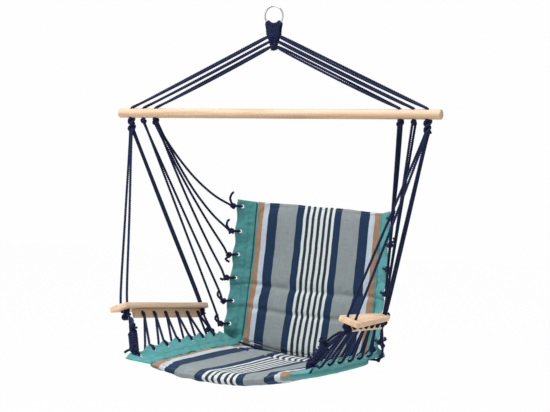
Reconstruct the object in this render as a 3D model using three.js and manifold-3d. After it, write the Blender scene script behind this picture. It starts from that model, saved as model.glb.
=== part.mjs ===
// A hammock chair that hangs from one steel ring. A rope neck is wrapped on the ring, twelve ropes
// run from it to a round spreader bar, and the ropes below the bar carry two wooden armrests and
// a padded seat and back. The seat is laced to the armrests, and the back is tied to the ropes.
// X runs across the chair, Y towards its back and Z up. The origin is where a hook bears on the
// inside of the ring, above everything else. Lengths are in millimetres, angles in degrees.

import * as THREE from 'three';
import { mergeVertices } from 'three/addons/utils/BufferGeometryUtils.js';
import Module from 'manifold-3d';

const wasm = await Module();
wasm.setup();

// Clearances and overruns
const clearance = 0.3;
const cutOverrun = 2;

// Rope
const ropeDiameter = 6;
const ropeGap = 0.7;
const knotDiameter = 20;
const smallKnotDiameter = 14;
const tailLength = 26;
const rearTieSag = 20;
const rearTieOut = 8;
const doubledDiameter = 10;
const ropeSides = 8;
const knotSides = 8;
const smallKnotSides = 6;
const holeSides = 8;

// Ring and neck
const ringBore = 50;
const ringWire = 5;
const neckWrap = 6;
const neckTopWidth = 46;
const neckFootWidth = 16;
const neckDepth = 20;
const neckFootDrop = 120;
const neckRounding = 3;
const neckSaddleSweep = 60;
const neckExitRise = 12;
const neckExitPitch = 16;

// Spreader bar
const barLength = 1000;
const barDiameter = 28;
const barDrop = 297;
const barEndRounding = 4;
const barHoleFromEnd = 40;
const barHolePitch = 40;
const barHoleCount = 3;

// Armrests
const armGap = 646;
const armFront = 270;
const armRise = 188;
const armToe = 6.5;
const armPitch = 5.5;
const armRoll = 19;
const boardLength = 407;
const boardFrontWidth = 58;
const boardRearWidth = 28;
const boardThickness = 15;
const boardCorner = 7;
const boardEdge = 1.5;
const frontHoleBack = 29;
const frontHoleInner = 14;
const frontHoleSpacing = 23;
const rearHoleFromEnd = 22;
const rearHoleInner = 14;
const railThickness = 10;
const railHeight = 25;
const railFront = 54;
const railLength = 320;
const railInner = 13;
const railHoleFront = 34;
const railHolePitch = 54;
const railHoleDrop = 11;
const lacingCount = 6;
const cordHole = 8;

// Padded cloth: the seat, the back and the crease between them
const padWidth = 408;
const creaseBack = 193;
const creaseDrop = 1004;
const creaseInset = 5;
const creaseSag = 18;
const creaseSideBack = 9;
const clothLean = 11;
const padShoulder = 45;
const channelDepth = 5;
const channelWidth = 9;
const seatDepth = 520;
const seatThickness = 24;
const seatEdge = 8;
const seatFrontRise = 16;
const seatFrontSag = 27;
const seatChannelForward = 95;
const backHeight = 446;
const backThickness = 14;
const backEdge = 7;
const backRecline = 16.5;
const backBow = 8;
const backTopWrap = 15;
const backLowChannelUp = 112;
const backHighChannelUp = 186;
const creaseCordBack = 1.5;
const creaseCordDrop = 4.2;
const creaseKnotOut = 34;

// Single cloth side bands with their eyelets
const bandWidth = 68;
const bandThickness = 3;
const bandScallop = 6;
const seatBandRearAngle = 40;
const seatBandFrontAngle = 33;
const seatBandSlant = 42;
const seatCornerPull = 16;
const seatCornerDroop = 18;
const backBandFootAngle = 4;
const backBandAngle = 48;
const backBandTurn = 44;
const eyeletFromEdge = 19;
const seatEyeletFront = 26;
const seatEyeletRear = 98;
const seatEyeletCount = 7;
const backEyeletTop = 16;
const backEyeletFoot = 60;
const backEyeletCount = 6;
const eyeletBore = 8;
const eyeletFlange = 14;
const eyeletBarrel = 10;
const eyeletSheet = 0.7;

// How far the back ropes hang below a straight line at their middle, from the top eyelet down
const backRopeSag = 42;
const backRopeSagShares = [0.95, 1, 0.43, 0.52, 0, 0];

const ropeRadius = ropeDiameter / 2;
const ropeOffset = (ropeDiameter + ropeGap) / 2;
const knotRadius = knotDiameter / 2;
const smallKnotRadius = smallKnotDiameter / 2;
const barRadius = barDiameter / 2;
const knotDrop = barDrop + barRadius + clearance + knotRadius;
const padHalf = padWidth / 2;
const armDrop = creaseDrop - armRise;
const seatChannels = [seatChannelForward];
const backChannels = [backLowChannelUp, backHighChannelUp];
const seatEyeletPitch = (seatDepth - seatEyeletFront - seatEyeletRear) / (seatEyeletCount - 1);
const backEyeletPitch = (backHeight - backEyeletTop - backEyeletFoot) / (backEyeletCount - 1);
const creaseLip = bandThickness / 2;
const stripGap = 5 * clearance;
const ringCentre = ringBore / 2;
const wireCentreRadius = (ringBore + ringWire) / 2;

const steel = new THREE.MeshStandardMaterial({ color: 0xc9ccd0, roughness: 0.25, metalness: 1 });
const rope = new THREE.MeshStandardMaterial({ color: 0x1d2742, roughness: 0.9, metalness: 0 });
const wood = new THREE.MeshStandardMaterial({ color: 0xe2c39a, roughness: 0.6, metalness: 0 });
const cushionCloth = new THREE.MeshStandardMaterial({ color: 0x87928f, roughness: 0.95, metalness: 0 });
const bandCloth = new THREE.MeshStandardMaterial({ color: 0x47958a, roughness: 0.95, metalness: 0 });

const sides = [['left', -1], ['right', 1]];
const chair = new THREE.Group();

const radians = THREE.MathUtils.degToRad;
const lerp = THREE.MathUtils.lerp;
const point = (x, y, z) => new THREE.Vector3(x, y, z);
const along = (start, direction, distance) => start.clone().addScaledVector(direction, distance);

// Solids

// The geometry with only its places, its shared vertices merged and its faces pointing out
function closed(geometry) {
  const bare = geometry.clone();
  bare.deleteAttribute('normal');
  bare.deleteAttribute('uv');
  const merged = mergeVertices(bare);
  const place = merged.getAttribute('position');
  const index = merged.getIndex();
  const corner = (i) => new THREE.Vector3().fromBufferAttribute(place, index.getX(i));
  let volume = 0;
  for (let i = 0; i < index.count; i += 3) {
    volume += corner(i).dot(corner(i + 1).cross(corner(i + 2)));
  }
  if (volume < 0) {
    for (let i = 0; i < index.count; i += 3) {
      const swapped = index.getX(i + 1);
      index.setX(i + 1, index.getX(i + 2));
      index.setX(i + 2, swapped);
    }
  }
  return merged;
}

function solid(geometry) {
  const shell = closed(geometry);
  return new wasm.Manifold(new wasm.Mesh({
    numProp: 3,
    vertProperties: new Float32Array(shell.getAttribute('position').array),
    triVerts: new Uint32Array(shell.getIndex().array),
  }));
}

function geometryOf(body) {
  const result = body.getMesh();
  const geometry = new THREE.BufferGeometry();
  geometry.setAttribute('position', new THREE.BufferAttribute(result.vertProperties, 3));
  geometry.setIndex(new THREE.BufferAttribute(result.triVerts, 1));
  return geometry;
}

function addPiece(name, geometry, material) {
  const shown = closed(geometry);
  shown.computeVertexNormals();
  const piece = new THREE.Mesh(shown, material);
  piece.name = name;
  chair.add(piece);
}

// A path whose steps follow its points, so that bends get short steps and straight runs long ones
class RopePath extends THREE.CatmullRomCurve3 {
  getUtoTmapping(share) {
    return share;
  }
}

function strand(points, diameter = ropeDiameter) {
  const section = new THREE.Shape();
  const corners = [];
  for (let i = 0; i < ropeSides; i += 1) {
    const turn = (i / ropeSides) * Math.PI * 2;
    corners.push(new THREE.Vector2(Math.cos(turn), Math.sin(turn)).multiplyScalar(diameter / 2));
  }
  section.setFromPoints(corners);
  const extrudePath = new RopePath(points, false, 'centripetal');
  return new THREE.ExtrudeGeometry(section, { steps: points.length - 1, bevelEnabled: false, extrudePath });
}

function ball(centre, radius, stretch = point(1, 1, 1), faces = knotSides) {
  const geometry = new THREE.SphereGeometry(radius, faces, faces - 2);
  geometry.scale(stretch.x, stretch.y, stretch.z);
  geometry.translate(centre.x, centre.y, centre.z);
  return geometry;
}

function smallKnot(centre, grown = 0) {
  return ball(centre, smallKnotRadius + grown, point(1, 1, 1), smallKnotSides);
}

// A closed sheet between two faces: place(u, v, face) gives a point, with face 1 above and -1 below
function sheetSolid(us, vs, place) {
  const points = [];
  const triangles = [];
  const rows = vs.length;
  for (const face of [1, -1]) {
    us.forEach((u) => vs.forEach((v) => points.push(...place(u, v, face).toArray())));
  }
  const at = (i, j, face) => (face > 0 ? 0 : us.length * rows) + i * rows + j;
  const quad = (a, b, c, d) => triangles.push(a, b, c, a, c, d);
  for (let i = 0; i + 1 < us.length; i += 1) {
    for (let j = 0; j + 1 < rows; j += 1) {
      quad(at(i, j, 1), at(i + 1, j, 1), at(i + 1, j + 1, 1), at(i, j + 1, 1));
      quad(at(i, j, -1), at(i, j + 1, -1), at(i + 1, j + 1, -1), at(i + 1, j, -1));
    }
    quad(at(i, 0, -1), at(i + 1, 0, -1), at(i + 1, 0, 1), at(i, 0, 1));
    quad(at(i, rows - 1, 1), at(i + 1, rows - 1, 1), at(i + 1, rows - 1, -1), at(i, rows - 1, -1));
  }
  for (let j = 0; j + 1 < rows; j += 1) {
    const last = us.length - 1;
    quad(at(0, j, 1), at(0, j + 1, 1), at(0, j + 1, -1), at(0, j, -1));
    quad(at(last, j, -1), at(last, j + 1, -1), at(last, j + 1, 1), at(last, j, 1));
  }
  const geometry = new THREE.BufferGeometry();
  geometry.setAttribute('position', new THREE.Float32BufferAttribute(points, 3));
  geometry.setIndex(triangles);
  return geometry;
}

// Places from 0 to 1, close together at both ends
function easedShares(count) {
  return Array.from({ length: count + 1 }, (_, i) => (1 - Math.cos((i / count) * Math.PI)) / 2);
}

function evenShares(count) {
  return Array.from({ length: count + 1 }, (_, i) => i / count);
}

// Cloth surfaces

// The seat's middle surface: across from the centre line, forward from the crease
function seatMiddle(across, forward) {
  const side = Math.sign(across);
  const inner = THREE.MathUtils.clamp(across, -padHalf, padHalf);
  const outer = Math.abs(across - inner);
  const ahead = forward / seatDepth;
  const curve = (inner / padHalf) ** 2;
  const angle = radians(lerp(seatBandRearAngle, seatBandFrontAngle, ahead) - seatCornerDroop * ahead ** 8);
  const lean = clothLean * (inner / padHalf) * (1 - ahead);
  const pull = seatCornerPull * (outer / bandWidth) * ahead ** 4;
  return point(
    inner + side * outer * Math.cos(angle),
    creaseBack + creaseSideBack * curve * (1 - ahead) - forward - pull,
    seatFrontRise * ahead ** 2 + lerp(creaseSag, seatFrontSag, ahead) * curve
      + outer * Math.sin(angle) - lean - creaseDrop - seatThickness / 2,
  );
}

// The back's middle surface: across from the centre line, up from the crease
function backMiddle(across, up) {
  const side = Math.sign(across);
  const inner = THREE.MathUtils.clamp(across, -padHalf, padHalf);
  const outer = Math.abs(across - inner);
  const height = up / backHeight;
  const curve = (inner / padHalf) ** 2;
  const turn = THREE.MathUtils.smoothstep(up, 0, backBandTurn);
  const angle = radians(lerp(backBandFootAngle, backBandAngle, turn));
  const sideBack = lerp(creaseSideBack, -backTopWrap, height) * curve;
  return point(
    inner + side * outer * Math.cos(angle),
    creaseBack + backThickness / 2 + up * Math.sin(radians(backRecline))
      + backBow * Math.sin(height * Math.PI) + sideBack - outer * Math.sin(angle),
    up * Math.cos(radians(backRecline)) + creaseSag * curve * (1 - height) ** 2
      - clothLean * (inner / padHalf) - creaseDrop,
  );
}

// The unit normal of a cloth surface: up from the seat, forward from the back
function clothNormal(surface, across, distance) {
  const nudge = ropeRadius;
  const acrossStep = surface(across + nudge, distance).sub(surface(across - nudge, distance));
  const alongStep = surface(across, distance + nudge).sub(surface(across, distance - nudge));
  const normal = acrossStep.cross(alongStep).normalize();
  return surface === seatMiddle ? normal.negate() : normal;
}

function clothPoint(surface, across, distance, lift) {
  return along(surface(across, distance), clothNormal(surface, across, distance), lift);
}

// Cushion thickness: full in the middle, drawn in towards the edges, pinched at each channel
function padThickness(full, edge, nearestEdge, channelDistances) {
  const share = Math.min(1, nearestEdge / padShoulder);
  const crown = edge + (full - edge) * Math.sqrt(1 - (1 - share) ** 2);
  const pinch = Math.max(...channelDistances.map((far) => Math.exp(-((far / channelWidth) ** 2))));
  return Math.max(edge, crown - channelDepth * pinch);
}

function padSolid(surface, length, full, edge, channels) {
  const reach = length - creaseInset;
  const rows = easedShares(9).map((share) => creaseInset + share * reach);
  channels.forEach((at) => rows.push(at - channelWidth, at, at + channelWidth));
  rows.sort((a, b) => a - b);
  const columns = easedShares(10).map((share) => lerp(-padHalf, padHalf, share));
  return sheetSolid(columns, rows, (across, forward, face) => {
    const nearest = Math.min(padHalf - Math.abs(across), forward - creaseInset, length - forward);
    const distances = channels.map((at) => forward - at);
    const thickness = padThickness(full, edge, nearest, distances);
    return clothPoint(surface, across, forward, (face * thickness) / 2);
  });
}

// Eyelet places along each band, and the band's width there
const seatEyelets = evenShares(seatEyeletCount - 1)
  .map((share) => seatDepth - seatEyeletFront - share * seatEyeletPitch * (seatEyeletCount - 1));
const backEyelets = evenShares(backEyeletCount - 1)
  .map((share) => backHeight - backEyeletTop - share * backEyeletPitch * (backEyeletCount - 1));

// The free edge is drawn out at each eyelet and falls back between them
function bandReach(place, first, pitch) {
  const wave = (1 - Math.cos(((place - first) / pitch) * Math.PI * 2)) / 2;
  return padHalf + bandWidth - bandScallop * wave;
}

const eyeletAcross = padHalf + bandWidth - eyeletFromEdge;

function bandSolid(surface, side, length, slant, first, pitch, rowCount) {
  const rows = evenShares(rowCount);
  return sheetSolid([0, 1], rows, (u, v, face) => {
    const start = creaseInset + slant * u;
    const place = lerp(start, length, v);
    const across = lerp(padHalf + 2 * clearance, bandReach(place, first, pitch), u);
    return clothPoint(surface, side * across, place, (face * bandThickness) / 2);
  });
}

function throughHole(centre, direction, diameter, length) {
  const corner = diameter / 2 / Math.cos(Math.PI / holeSides);
  const drill = new THREE.CylinderGeometry(corner, corner, length, holeSides);
  const turn = new THREE.Quaternion().setFromUnitVectors(point(0, 1, 0), direction);
  drill.applyQuaternion(turn);
  drill.translate(centre.x, centre.y, centre.z);
  return drill;
}

function drilledBand(surface, side, band, eyelets) {
  let body = solid(band);
  eyelets.forEach((place) => {
    const centre = surface(side * eyeletAcross, place);
    const normal = clothNormal(surface, side * eyeletAcross, place);
    const hole = throughHole(centre, normal, eyeletBarrel + 2 * clearance, bandThickness + 2 * cutOverrun);
    body = body.subtract(solid(hole));
  });
  return geometryOf(body);
}

// A crimped eyelet: a short barrel with a flange on each face of the cloth
function eyeletGeometry(surface, side, place) {
  const bore = eyeletBore / 2;
  const barrel = eyeletBarrel / 2;
  const flange = eyeletFlange / 2;
  const inner = bandThickness / 2 + clearance;
  const outer = inner + eyeletSheet;
  const profile = [
    new THREE.Vector2(bore, -outer), new THREE.Vector2(flange, -outer),
    new THREE.Vector2(flange, -inner), new THREE.Vector2(barrel, -inner),
    new THREE.Vector2(barrel, inner), new THREE.Vector2(flange, inner),
    new THREE.Vector2(flange, outer), new THREE.Vector2(bore, outer),
    new THREE.Vector2(bore, -outer),
  ];
  const ring = new THREE.LatheGeometry(profile, holeSides);
  const normal = clothNormal(surface, side * eyeletAcross, place);
  ring.applyQuaternion(new THREE.Quaternion().setFromUnitVectors(point(0, 1, 0), normal));
  const centre = surface(side * eyeletAcross, place);
  ring.translate(centre.x, centre.y, centre.z);
  return ring;
}

// Where a rope meets an eyelet: its centre, the cloth's normal there and the way to the free edge
function eyeletFrame(surface, side, place) {
  const centre = surface(side * eyeletAcross, place);
  const outward = surface(side * (eyeletAcross + ropeRadius), place).sub(centre).normalize();
  return { centre, outward, normal: clothNormal(surface, side * eyeletAcross, place) };
}

// Offsets, in rope radii, of the hairpin that a rope makes through an eyelet: out and off the cloth
const hairpinShares = [[0, 0], [0.15, 1.1], [1.4, 2.3]];

function hairpin(frame) {
  const places = hairpinShares.map(([out, off]) => [out * ropeRadius, off * ropeRadius]);
  places.push([eyeletFromEdge + ropeGap, bandThickness / 2 + ropeRadius + ropeGap]);
  const reach = (out, off) => along(along(frame.centre, frame.outward, out), frame.normal, off);
  const front = places.map(([out, off]) => reach(out, off)).reverse();
  const behind = places.slice(1).map(([out, off]) => reach(out, -off));
  return [...front, ...behind];
}

// Armrest places: out from the inner edge, back from the front end, up from the top face
function armMatrix(side) {
  const toe = radians(armToe);
  const pitch = radians(armPitch);
  const roll = radians(armRoll);
  const back = point(-Math.sin(toe) * Math.cos(pitch), Math.cos(toe) * Math.cos(pitch), -Math.sin(pitch));
  const out = point(Math.cos(roll) * Math.cos(toe), Math.cos(roll) * Math.sin(toe), -Math.sin(roll));
  out.addScaledVector(back, -out.dot(back)).normalize();
  const up = out.clone().cross(back);
  const place = new THREE.Matrix4().makeBasis(out, back, up).setPosition(armGap / 2, -armFront, -armDrop);
  return place.premultiply(new THREE.Matrix4().makeScale(side, 1, 1));
}

function armPoint(side, out, back, up) {
  return point(out, back, up).applyMatrix4(armMatrix(side));
}

function armDirection(side, out, back, up) {
  return armPoint(side, out, back, up).sub(armPoint(side, 0, 0, 0)).normalize();
}

function placedOnArm(geometry, side) {
  return geometry.applyMatrix4(armMatrix(side));
}

// Ring and neck

function ringSolid(wire) {
  const ring = new THREE.TorusGeometry(wireCentreRadius, wire / 2, 8, 28);
  ring.rotateX(Math.PI / 2);
  ring.translate(0, 0, -ringCentre);
  return ring;
}

const neckWaistDrop = ringBore + ringWire + neckWrap;

// The neck's outline is saddled over the ring's lower wire and tapers to its foot
function neckBlock() {
  const outline = new THREE.Shape();
  const saddle = ringCentre - neckWrap;
  const sweep = radians(neckSaddleSweep);
  const steps = 8;
  for (let i = 0; i <= steps; i += 1) {
    const turn = lerp(-sweep, sweep, i / steps);
    const x = (neckTopWidth / 2) * Math.sin(turn);
    const z = -ringCentre - saddle * Math.cos(turn);
    outline[i ? 'lineTo' : 'moveTo'](x, z);
  }
  outline.lineTo(neckTopWidth / 2, -neckWaistDrop);
  outline.lineTo(neckFootWidth / 2, -neckFootDrop);
  outline.lineTo(-neckFootWidth / 2, -neckFootDrop);
  outline.lineTo(-neckTopWidth / 2, -neckWaistDrop);
  const block = new THREE.ExtrudeGeometry(outline, {
    depth: neckDepth - 2 * neckRounding,
    bevelSize: neckRounding,
    bevelThickness: neckRounding,
    bevelOffset: -neckRounding,
    bevelSegments: 1,
  });
  block.translate(0, 0, neckRounding - neckDepth / 2);
  block.rotateX(Math.PI / 2);
  return block;
}

// Bar holes and the knots under them
const barHolePlaces = Array.from({ length: barHoleCount },
  (_, i) => barLength / 2 - barHoleFromEnd - i * barHolePitch);
const barHoleDiameter = 2 * ropeDiameter + ropeGap + 2 * clearance;
const knotCentre = (side, hole) => point(side * barHolePlaces[hole], 0, -knotDrop);

function barSolid() {
  const end = barLength / 2;
  const face = barRadius - barEndRounding;
  const profile = [
    new THREE.Vector2(0, -end), new THREE.Vector2(face, -end),
    new THREE.Vector2(barRadius, barEndRounding - end), new THREE.Vector2(barRadius, end - barEndRounding),
    new THREE.Vector2(face, end), new THREE.Vector2(0, end),
  ];
  const round = new THREE.LatheGeometry(profile, 16);
  round.rotateZ(Math.PI / 2);
  round.translate(0, 0, -barDrop);
  let body = solid(round);
  sides.forEach(([, side]) => barHolePlaces.forEach((place) => {
    const centre = point(side * place, 0, -barDrop);
    const hole = throughHole(centre, point(0, 0, 1), barHoleDiameter, barDiameter + 2 * cutOverrun);
    body = body.subtract(solid(hole));
  }));
  return geometryOf(body);
}

// Two ropes side by side from the neck, down through a bar hole and into the knot below it
function upperRopes(side, hole) {
  const rise = neckExitRise + (barHoleCount - 1 - hole) * neckExitPitch;
  const start = point(side * neckFootWidth / 4, 0, rise - neckFootDrop);
  const top = point(side * barHolePlaces[hole], 0, barRadius - barDrop);
  const run = top.clone().sub(start).normalize();
  const bend = knotRadius;
  const approach = along(top, run, -2 * bend).add(point(0, 0, bend / 2));
  const points = [
    start, approach, along(top, run, -bend / 2).add(point(0, 0, bend / 2)), top, knotCentre(side, hole),
  ];
  let body = solid(ball(knotCentre(side, hole), knotRadius));
  [-ropeOffset, ropeOffset].forEach((offset) => {
    const moved = points.map((p) => p.clone().add(point(0, offset, 0)));
    body = body.add(solid(strand(moved)));
  });
  return body;
}

// Armrest boards and rails

const frontHoles = [frontHoleInner, frontHoleInner + frontHoleSpacing];
const rearHoleBack = boardLength - rearHoleFromEnd;

// The inner edge is straight and the outer edge tapers towards the rear
function boardSolid() {
  const outline = new THREE.Shape();
  const r = boardCorner;
  const taper = Math.atan((boardFrontWidth - boardRearWidth) / (boardLength - 2 * r));
  outline.moveTo(r, 0);
  outline.absarc(boardFrontWidth - r, r, r, -Math.PI / 2, taper);
  outline.absarc(boardRearWidth - r, boardLength - r, r, taper, Math.PI / 2);
  outline.absarc(r, boardLength - r, r, Math.PI / 2, Math.PI);
  outline.absarc(r, r, r, Math.PI, Math.PI * 1.5);
  const board = new THREE.ExtrudeGeometry(outline, {
    depth: boardThickness - 2 * boardEdge,
    curveSegments: 2,
    bevelSize: boardEdge,
    bevelThickness: boardEdge,
    bevelOffset: -boardEdge,
    bevelSegments: 1,
  });
  board.translate(0, 0, boardEdge - boardThickness);
  let body = solid(board);
  const drill = (out, back, diameter) => {
    const centre = point(out, back, -boardThickness / 2);
    const hole = throughHole(centre, point(0, 0, 1), diameter, boardThickness + 2 * cutOverrun);
    body = body.subtract(solid(hole));
  };
  frontHoles.forEach((out) => drill(out, frontHoleBack, cordHole));
  drill(rearHoleInner, rearHoleBack, barHoleDiameter);
  return geometryOf(body);
}

const railTop = -boardThickness - clearance;
const railMiddle = railInner + railThickness / 2;
const railHoleUp = railTop - railHoleDrop;
const railHoleBack = (i) => railFront + railHoleFront + i * railHolePitch;

function railSolid() {
  const rail = new THREE.BoxGeometry(railThickness, railLength, railHeight);
  rail.translate(railMiddle, railFront + railLength / 2, railTop - railHeight / 2);
  let body = solid(rail);
  for (let i = 0; i < lacingCount; i += 1) {
    const centre = point(railMiddle, railHoleBack(i), railHoleUp);
    const hole = throughHole(centre, point(1, 0, 0), cordHole, railThickness + 2 * cutOverrun);
    body = body.subtract(solid(hole));
  }
  return geometryOf(body);
}

// The knot that gathers the four armrest ropes, right under the outermost bar knot
const armKnotCentre = (side) => knotCentre(side, 0).add(point(0, 0, -knotDiameter - clearance));
const underBoard = -boardThickness - clearance;
const frontKnotStretch = (frontHoleSpacing / 2 + ropeDiameter) / knotRadius;
const frontKnotCentre = (side) => armPoint(
  side, frontHoleInner + frontHoleSpacing / 2, frontHoleBack, underBoard - knotRadius);
const rearKnotCentre = (side) => armPoint(side, rearHoleInner, rearHoleBack, underBoard - knotRadius);

function armKnotCut(side) {
  return solid(ball(armKnotCentre(side), knotRadius + clearance));
}

// A rope from the gathering knot, square through the board at a hole and into the knot below it
function armStrand(side, startOut, startBack, out, back) {
  const start = armKnotCentre(side).add(point(side * startOut, startBack, 0));
  const above = armPoint(side, out, back, ropeDiameter);
  return strand([
    start, above, armPoint(side, out, back, 0), armPoint(side, out, back, -boardThickness),
    armPoint(side, out, back, underBoard - knotRadius),
  ]);
}

function frontArmRopes(side) {
  const knot = ball(point(0, 0, 0), knotRadius, point(frontKnotStretch, 1, 1));
  knot.translate(frontHoleInner + frontHoleSpacing / 2, frontHoleBack, underBoard - knotRadius);
  let body = solid(placedOnArm(knot, side));
  frontHoles.forEach((out, i) => {
    body = body.add(solid(armStrand(side, i ? ropeOffset : -ropeOffset, -ropeOffset, out, frontHoleBack)));
  });
  return geometryOf(body.subtract(armKnotCut(side)));
}

function rearArmRopes(side) {
  let body = solid(ball(rearKnotCentre(side), knotRadius));
  [-ropeOffset, ropeOffset].forEach((offset) => {
    body = body.add(solid(armStrand(side, offset, ropeOffset, rearHoleInner + offset, rearHoleBack)));
  });
  return geometryOf(body.subtract(armKnotCut(side)));
}

// Ropes tied to the cloth

// The knot that ties a rope off lies just outside the free edge
const tiedKnotCentre = (frame) => along(
  frame.centre, frame.outward, eyeletFromEdge + smallKnotRadius + ropeRadius);

// Which way each loose tail points: outwards, backwards and up
const backTailShares = [0.55, 0.1, 0.35];
const cornerTailShares = [0.4, -0.3, -0.6];
const tailDirection = (side, [out, back, up]) => point(side * out, back, up).normalize();

// One rope from its start to the knot, in a hairpin through the eyelet, back into the knot and out
// as a short tail; cut is what the rope starts from
function tiedRope(start, sag, frame, tail, cut, doubled) {
  const knot = tiedKnotCentre(frame);
  const route = evenShares(sag ? 4 : 1).map((share) => {
    const drop = 4 * sag * share * (1 - share);
    return start.clone().lerp(knot, share).add(point(0, 0, -drop));
  });
  const path = [...route, ...hairpin(frame), knot, along(knot, tail, tailLength)];
  let body = solid(strand(path)).add(solid(smallKnot(knot)));
  body = doubled ? body.add(doubled) : body;
  return geometryOf(body.subtract(cut));
}

// How the ropes share the bar knots: four leave the innermost one, two the middle one
const backRopeStarts = [
  [2, 1, 1], [2, -1, 1], [2, 1, -1], [2, -1, -1], [1, 1, 1], [1, -1, -1],
];

function backRope(side, i) {
  const [hole, out, up] = backRopeStarts[i];
  const start = knotCentre(side, hole).add(point(side * out * ropeOffset, up * ropeOffset, 0));
  const frame = eyeletFrame(backMiddle, side, backEyelets[i]);
  const cut = solid(ball(knotCentre(side, hole), knotRadius + clearance));
  return tiedRope(start, backRopeSag * backRopeSagShares[i], frame, tailDirection(side, backTailShares), cut);
}

// The doubled rope from under an armrest's front to the seat's front corner
function cornerTie(side) {
  const frame = eyeletFrame(seatMiddle, side, seatEyelets[0]);
  const knot = ball(point(0, 0, 0), knotRadius + clearance, point(frontKnotStretch, 1, 1));
  knot.translate(frontHoleInner + frontHoleSpacing / 2, frontHoleBack, underBoard - knotRadius);
  const cut = solid(placedOnArm(knot, side));
  const tail = tailDirection(side, cornerTailShares);
  const doubled = solid(strand([frontKnotCentre(side), tiedKnotCentre(frame)], doubledDiameter));
  return tiedRope(frontKnotCentre(side), 0, frame, tail, cut, doubled);
}

// One cord laces the rail to the seat: in at each rail hole, down through an eyelet, up outside
function lacing(side) {
  const outward = armDirection(side, 1, 0, 0);
  const down = armDirection(side, 0, 0, -1);
  const clear = railThickness / 2 + ropeRadius + ropeGap;
  const outside = railThickness / 2 + smallKnotRadius + clearance;
  const under = railHeight - railHoleDrop;
  const points = [];
  for (let i = 0; i < lacingCount; i += 1) {
    const hole = armPoint(side, railMiddle, railHoleBack(i), railHoleUp);
    const frame = eyeletFrame(seatMiddle, side, seatEyelets[i + 1]);
    const pin = hairpin(frame);
    const beside = (out, below) => along(along(hole, outward, out), down, below);
    points.push(
      beside(outside, ropeRadius / 2), beside(railThickness / 2, 0), beside(-railThickness / 2, 0),
      beside(-clear, ropeRadius), beside(-clear, under + ropeRadius),
      ...pin, beside(clear, under + smallKnotRadius),
    );
  }
  const endKnot = points[points.length - 1];
  const startKnot = points[0];
  let body = solid(strand(points));
  [startKnot, endKnot].forEach((centre) => {
    body = body.add(solid(smallKnot(centre)));
  });
  return geometryOf(body);
}

// The cord along the crease, with a knot past each side of the cushion
const creaseCordReach = padHalf + creaseKnotOut;

function creasePoint(across, back, up) {
  const foot = backMiddle(across, 0);
  return point(foot.x, foot.y - backThickness / 2 + back, foot.z + up);
}

const creaseKnot = (side) => creasePoint(side * creaseCordReach, creaseCordBack, -creaseCordDrop);

function creaseCord() {
  const route = evenShares(10).map((share) => {
    const across = lerp(-creaseCordReach, creaseCordReach, share);
    return creasePoint(across, creaseCordBack, -creaseCordDrop);
  });
  let body = solid(strand(route));
  sides.forEach(([, side]) => {
    body = body.add(solid(smallKnot(creaseKnot(side))));
  });
  return geometryOf(body);
}

function rearTie(side) {
  const start = rearKnotCentre(side);
  const end = creaseKnot(side);
  const middle = start.clone().lerp(end, 0.5).add(point(side * rearTieOut, 0, -rearTieSag));
  const body = solid(strand([start, middle, end]));
  const cuts = solid(ball(start, knotRadius + clearance)).add(solid(smallKnot(end, clearance)));
  return geometryOf(body.subtract(cuts));
}

// The strip of cloth that joins the seat to the back round the crease
function creaseStrip() {
  const columns = easedShares(10).map((share) => lerp(-padHalf, padHalf, share));
  return sheetSolid(columns, evenShares(5), (across, share, face) => {
    const seatEnd = new THREE.Vector2(stripGap - creaseInset, -seatThickness / 2);
    const recline = radians(backRecline);
    const backEnd = new THREE.Vector2(
      backThickness / 2 + creaseInset * Math.sin(recline),
      (creaseInset - stripGap) * Math.cos(recline),
    );
    const middle = new THREE.Vector2(backEnd.x + creaseLip, seatEnd.y);
    const curve = new THREE.QuadraticBezierCurve(seatEnd, middle, backEnd);
    const at = curve.getPoint(share);
    const tangent = curve.getTangent(share);
    const lift = (face * bandThickness) / 2;
    return creasePoint(across, at.x - tangent.y * lift, at.y + tangent.x * lift);
  });
}

// Assembly

addPiece('ring', ringSolid(ringWire), steel);
const neckBody = solid(neckBlock()).subtract(solid(ringSolid(ringWire + 2 * clearance)));
addPiece('neck', geometryOf(neckBody), rope);
addPiece('spreader_bar', barSolid(), wood);

// The ropes start at the neck's surface, so a slightly wider neck is cut from them
const widening = 1 + (2 * clearance) / neckFootWidth;
const neckCut = solid(neckBlock().scale(widening, widening, 1));
sides.forEach(([word, side]) => {
  for (let hole = 0; hole < barHoleCount; hole += 1) {
    const body = upperRopes(side, hole).subtract(neckCut);
    addPiece(`upper_ropes_${word}_${hole + 1}`, geometryOf(body), rope);
  }
});

sides.forEach(([word, side]) => {
  addPiece(`arm_board_${word}`, placedOnArm(boardSolid(), side), wood);
  addPiece(`arm_rail_${word}`, placedOnArm(railSolid(), side), wood);
  addPiece(`arm_knot_${word}`, ball(armKnotCentre(side), knotRadius), rope);
  addPiece(`arm_front_ropes_${word}`, frontArmRopes(side), rope);
  addPiece(`arm_rear_ropes_${word}`, rearArmRopes(side), rope);
  addPiece(`corner_tie_${word}`, cornerTie(side), rope);
  addPiece(`rear_tie_${word}`, rearTie(side), rope);
  addPiece(`seat_lacing_${word}`, lacing(side), rope);
});

addPiece('seat_pad', padSolid(seatMiddle, seatDepth, seatThickness, seatEdge, seatChannels), cushionCloth);
addPiece('back_pad', padSolid(backMiddle, backHeight, backThickness, backEdge, backChannels), cushionCloth);
addPiece('crease_strip', creaseStrip(), cushionCloth);
addPiece('crease_cord', creaseCord(), rope);

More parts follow.
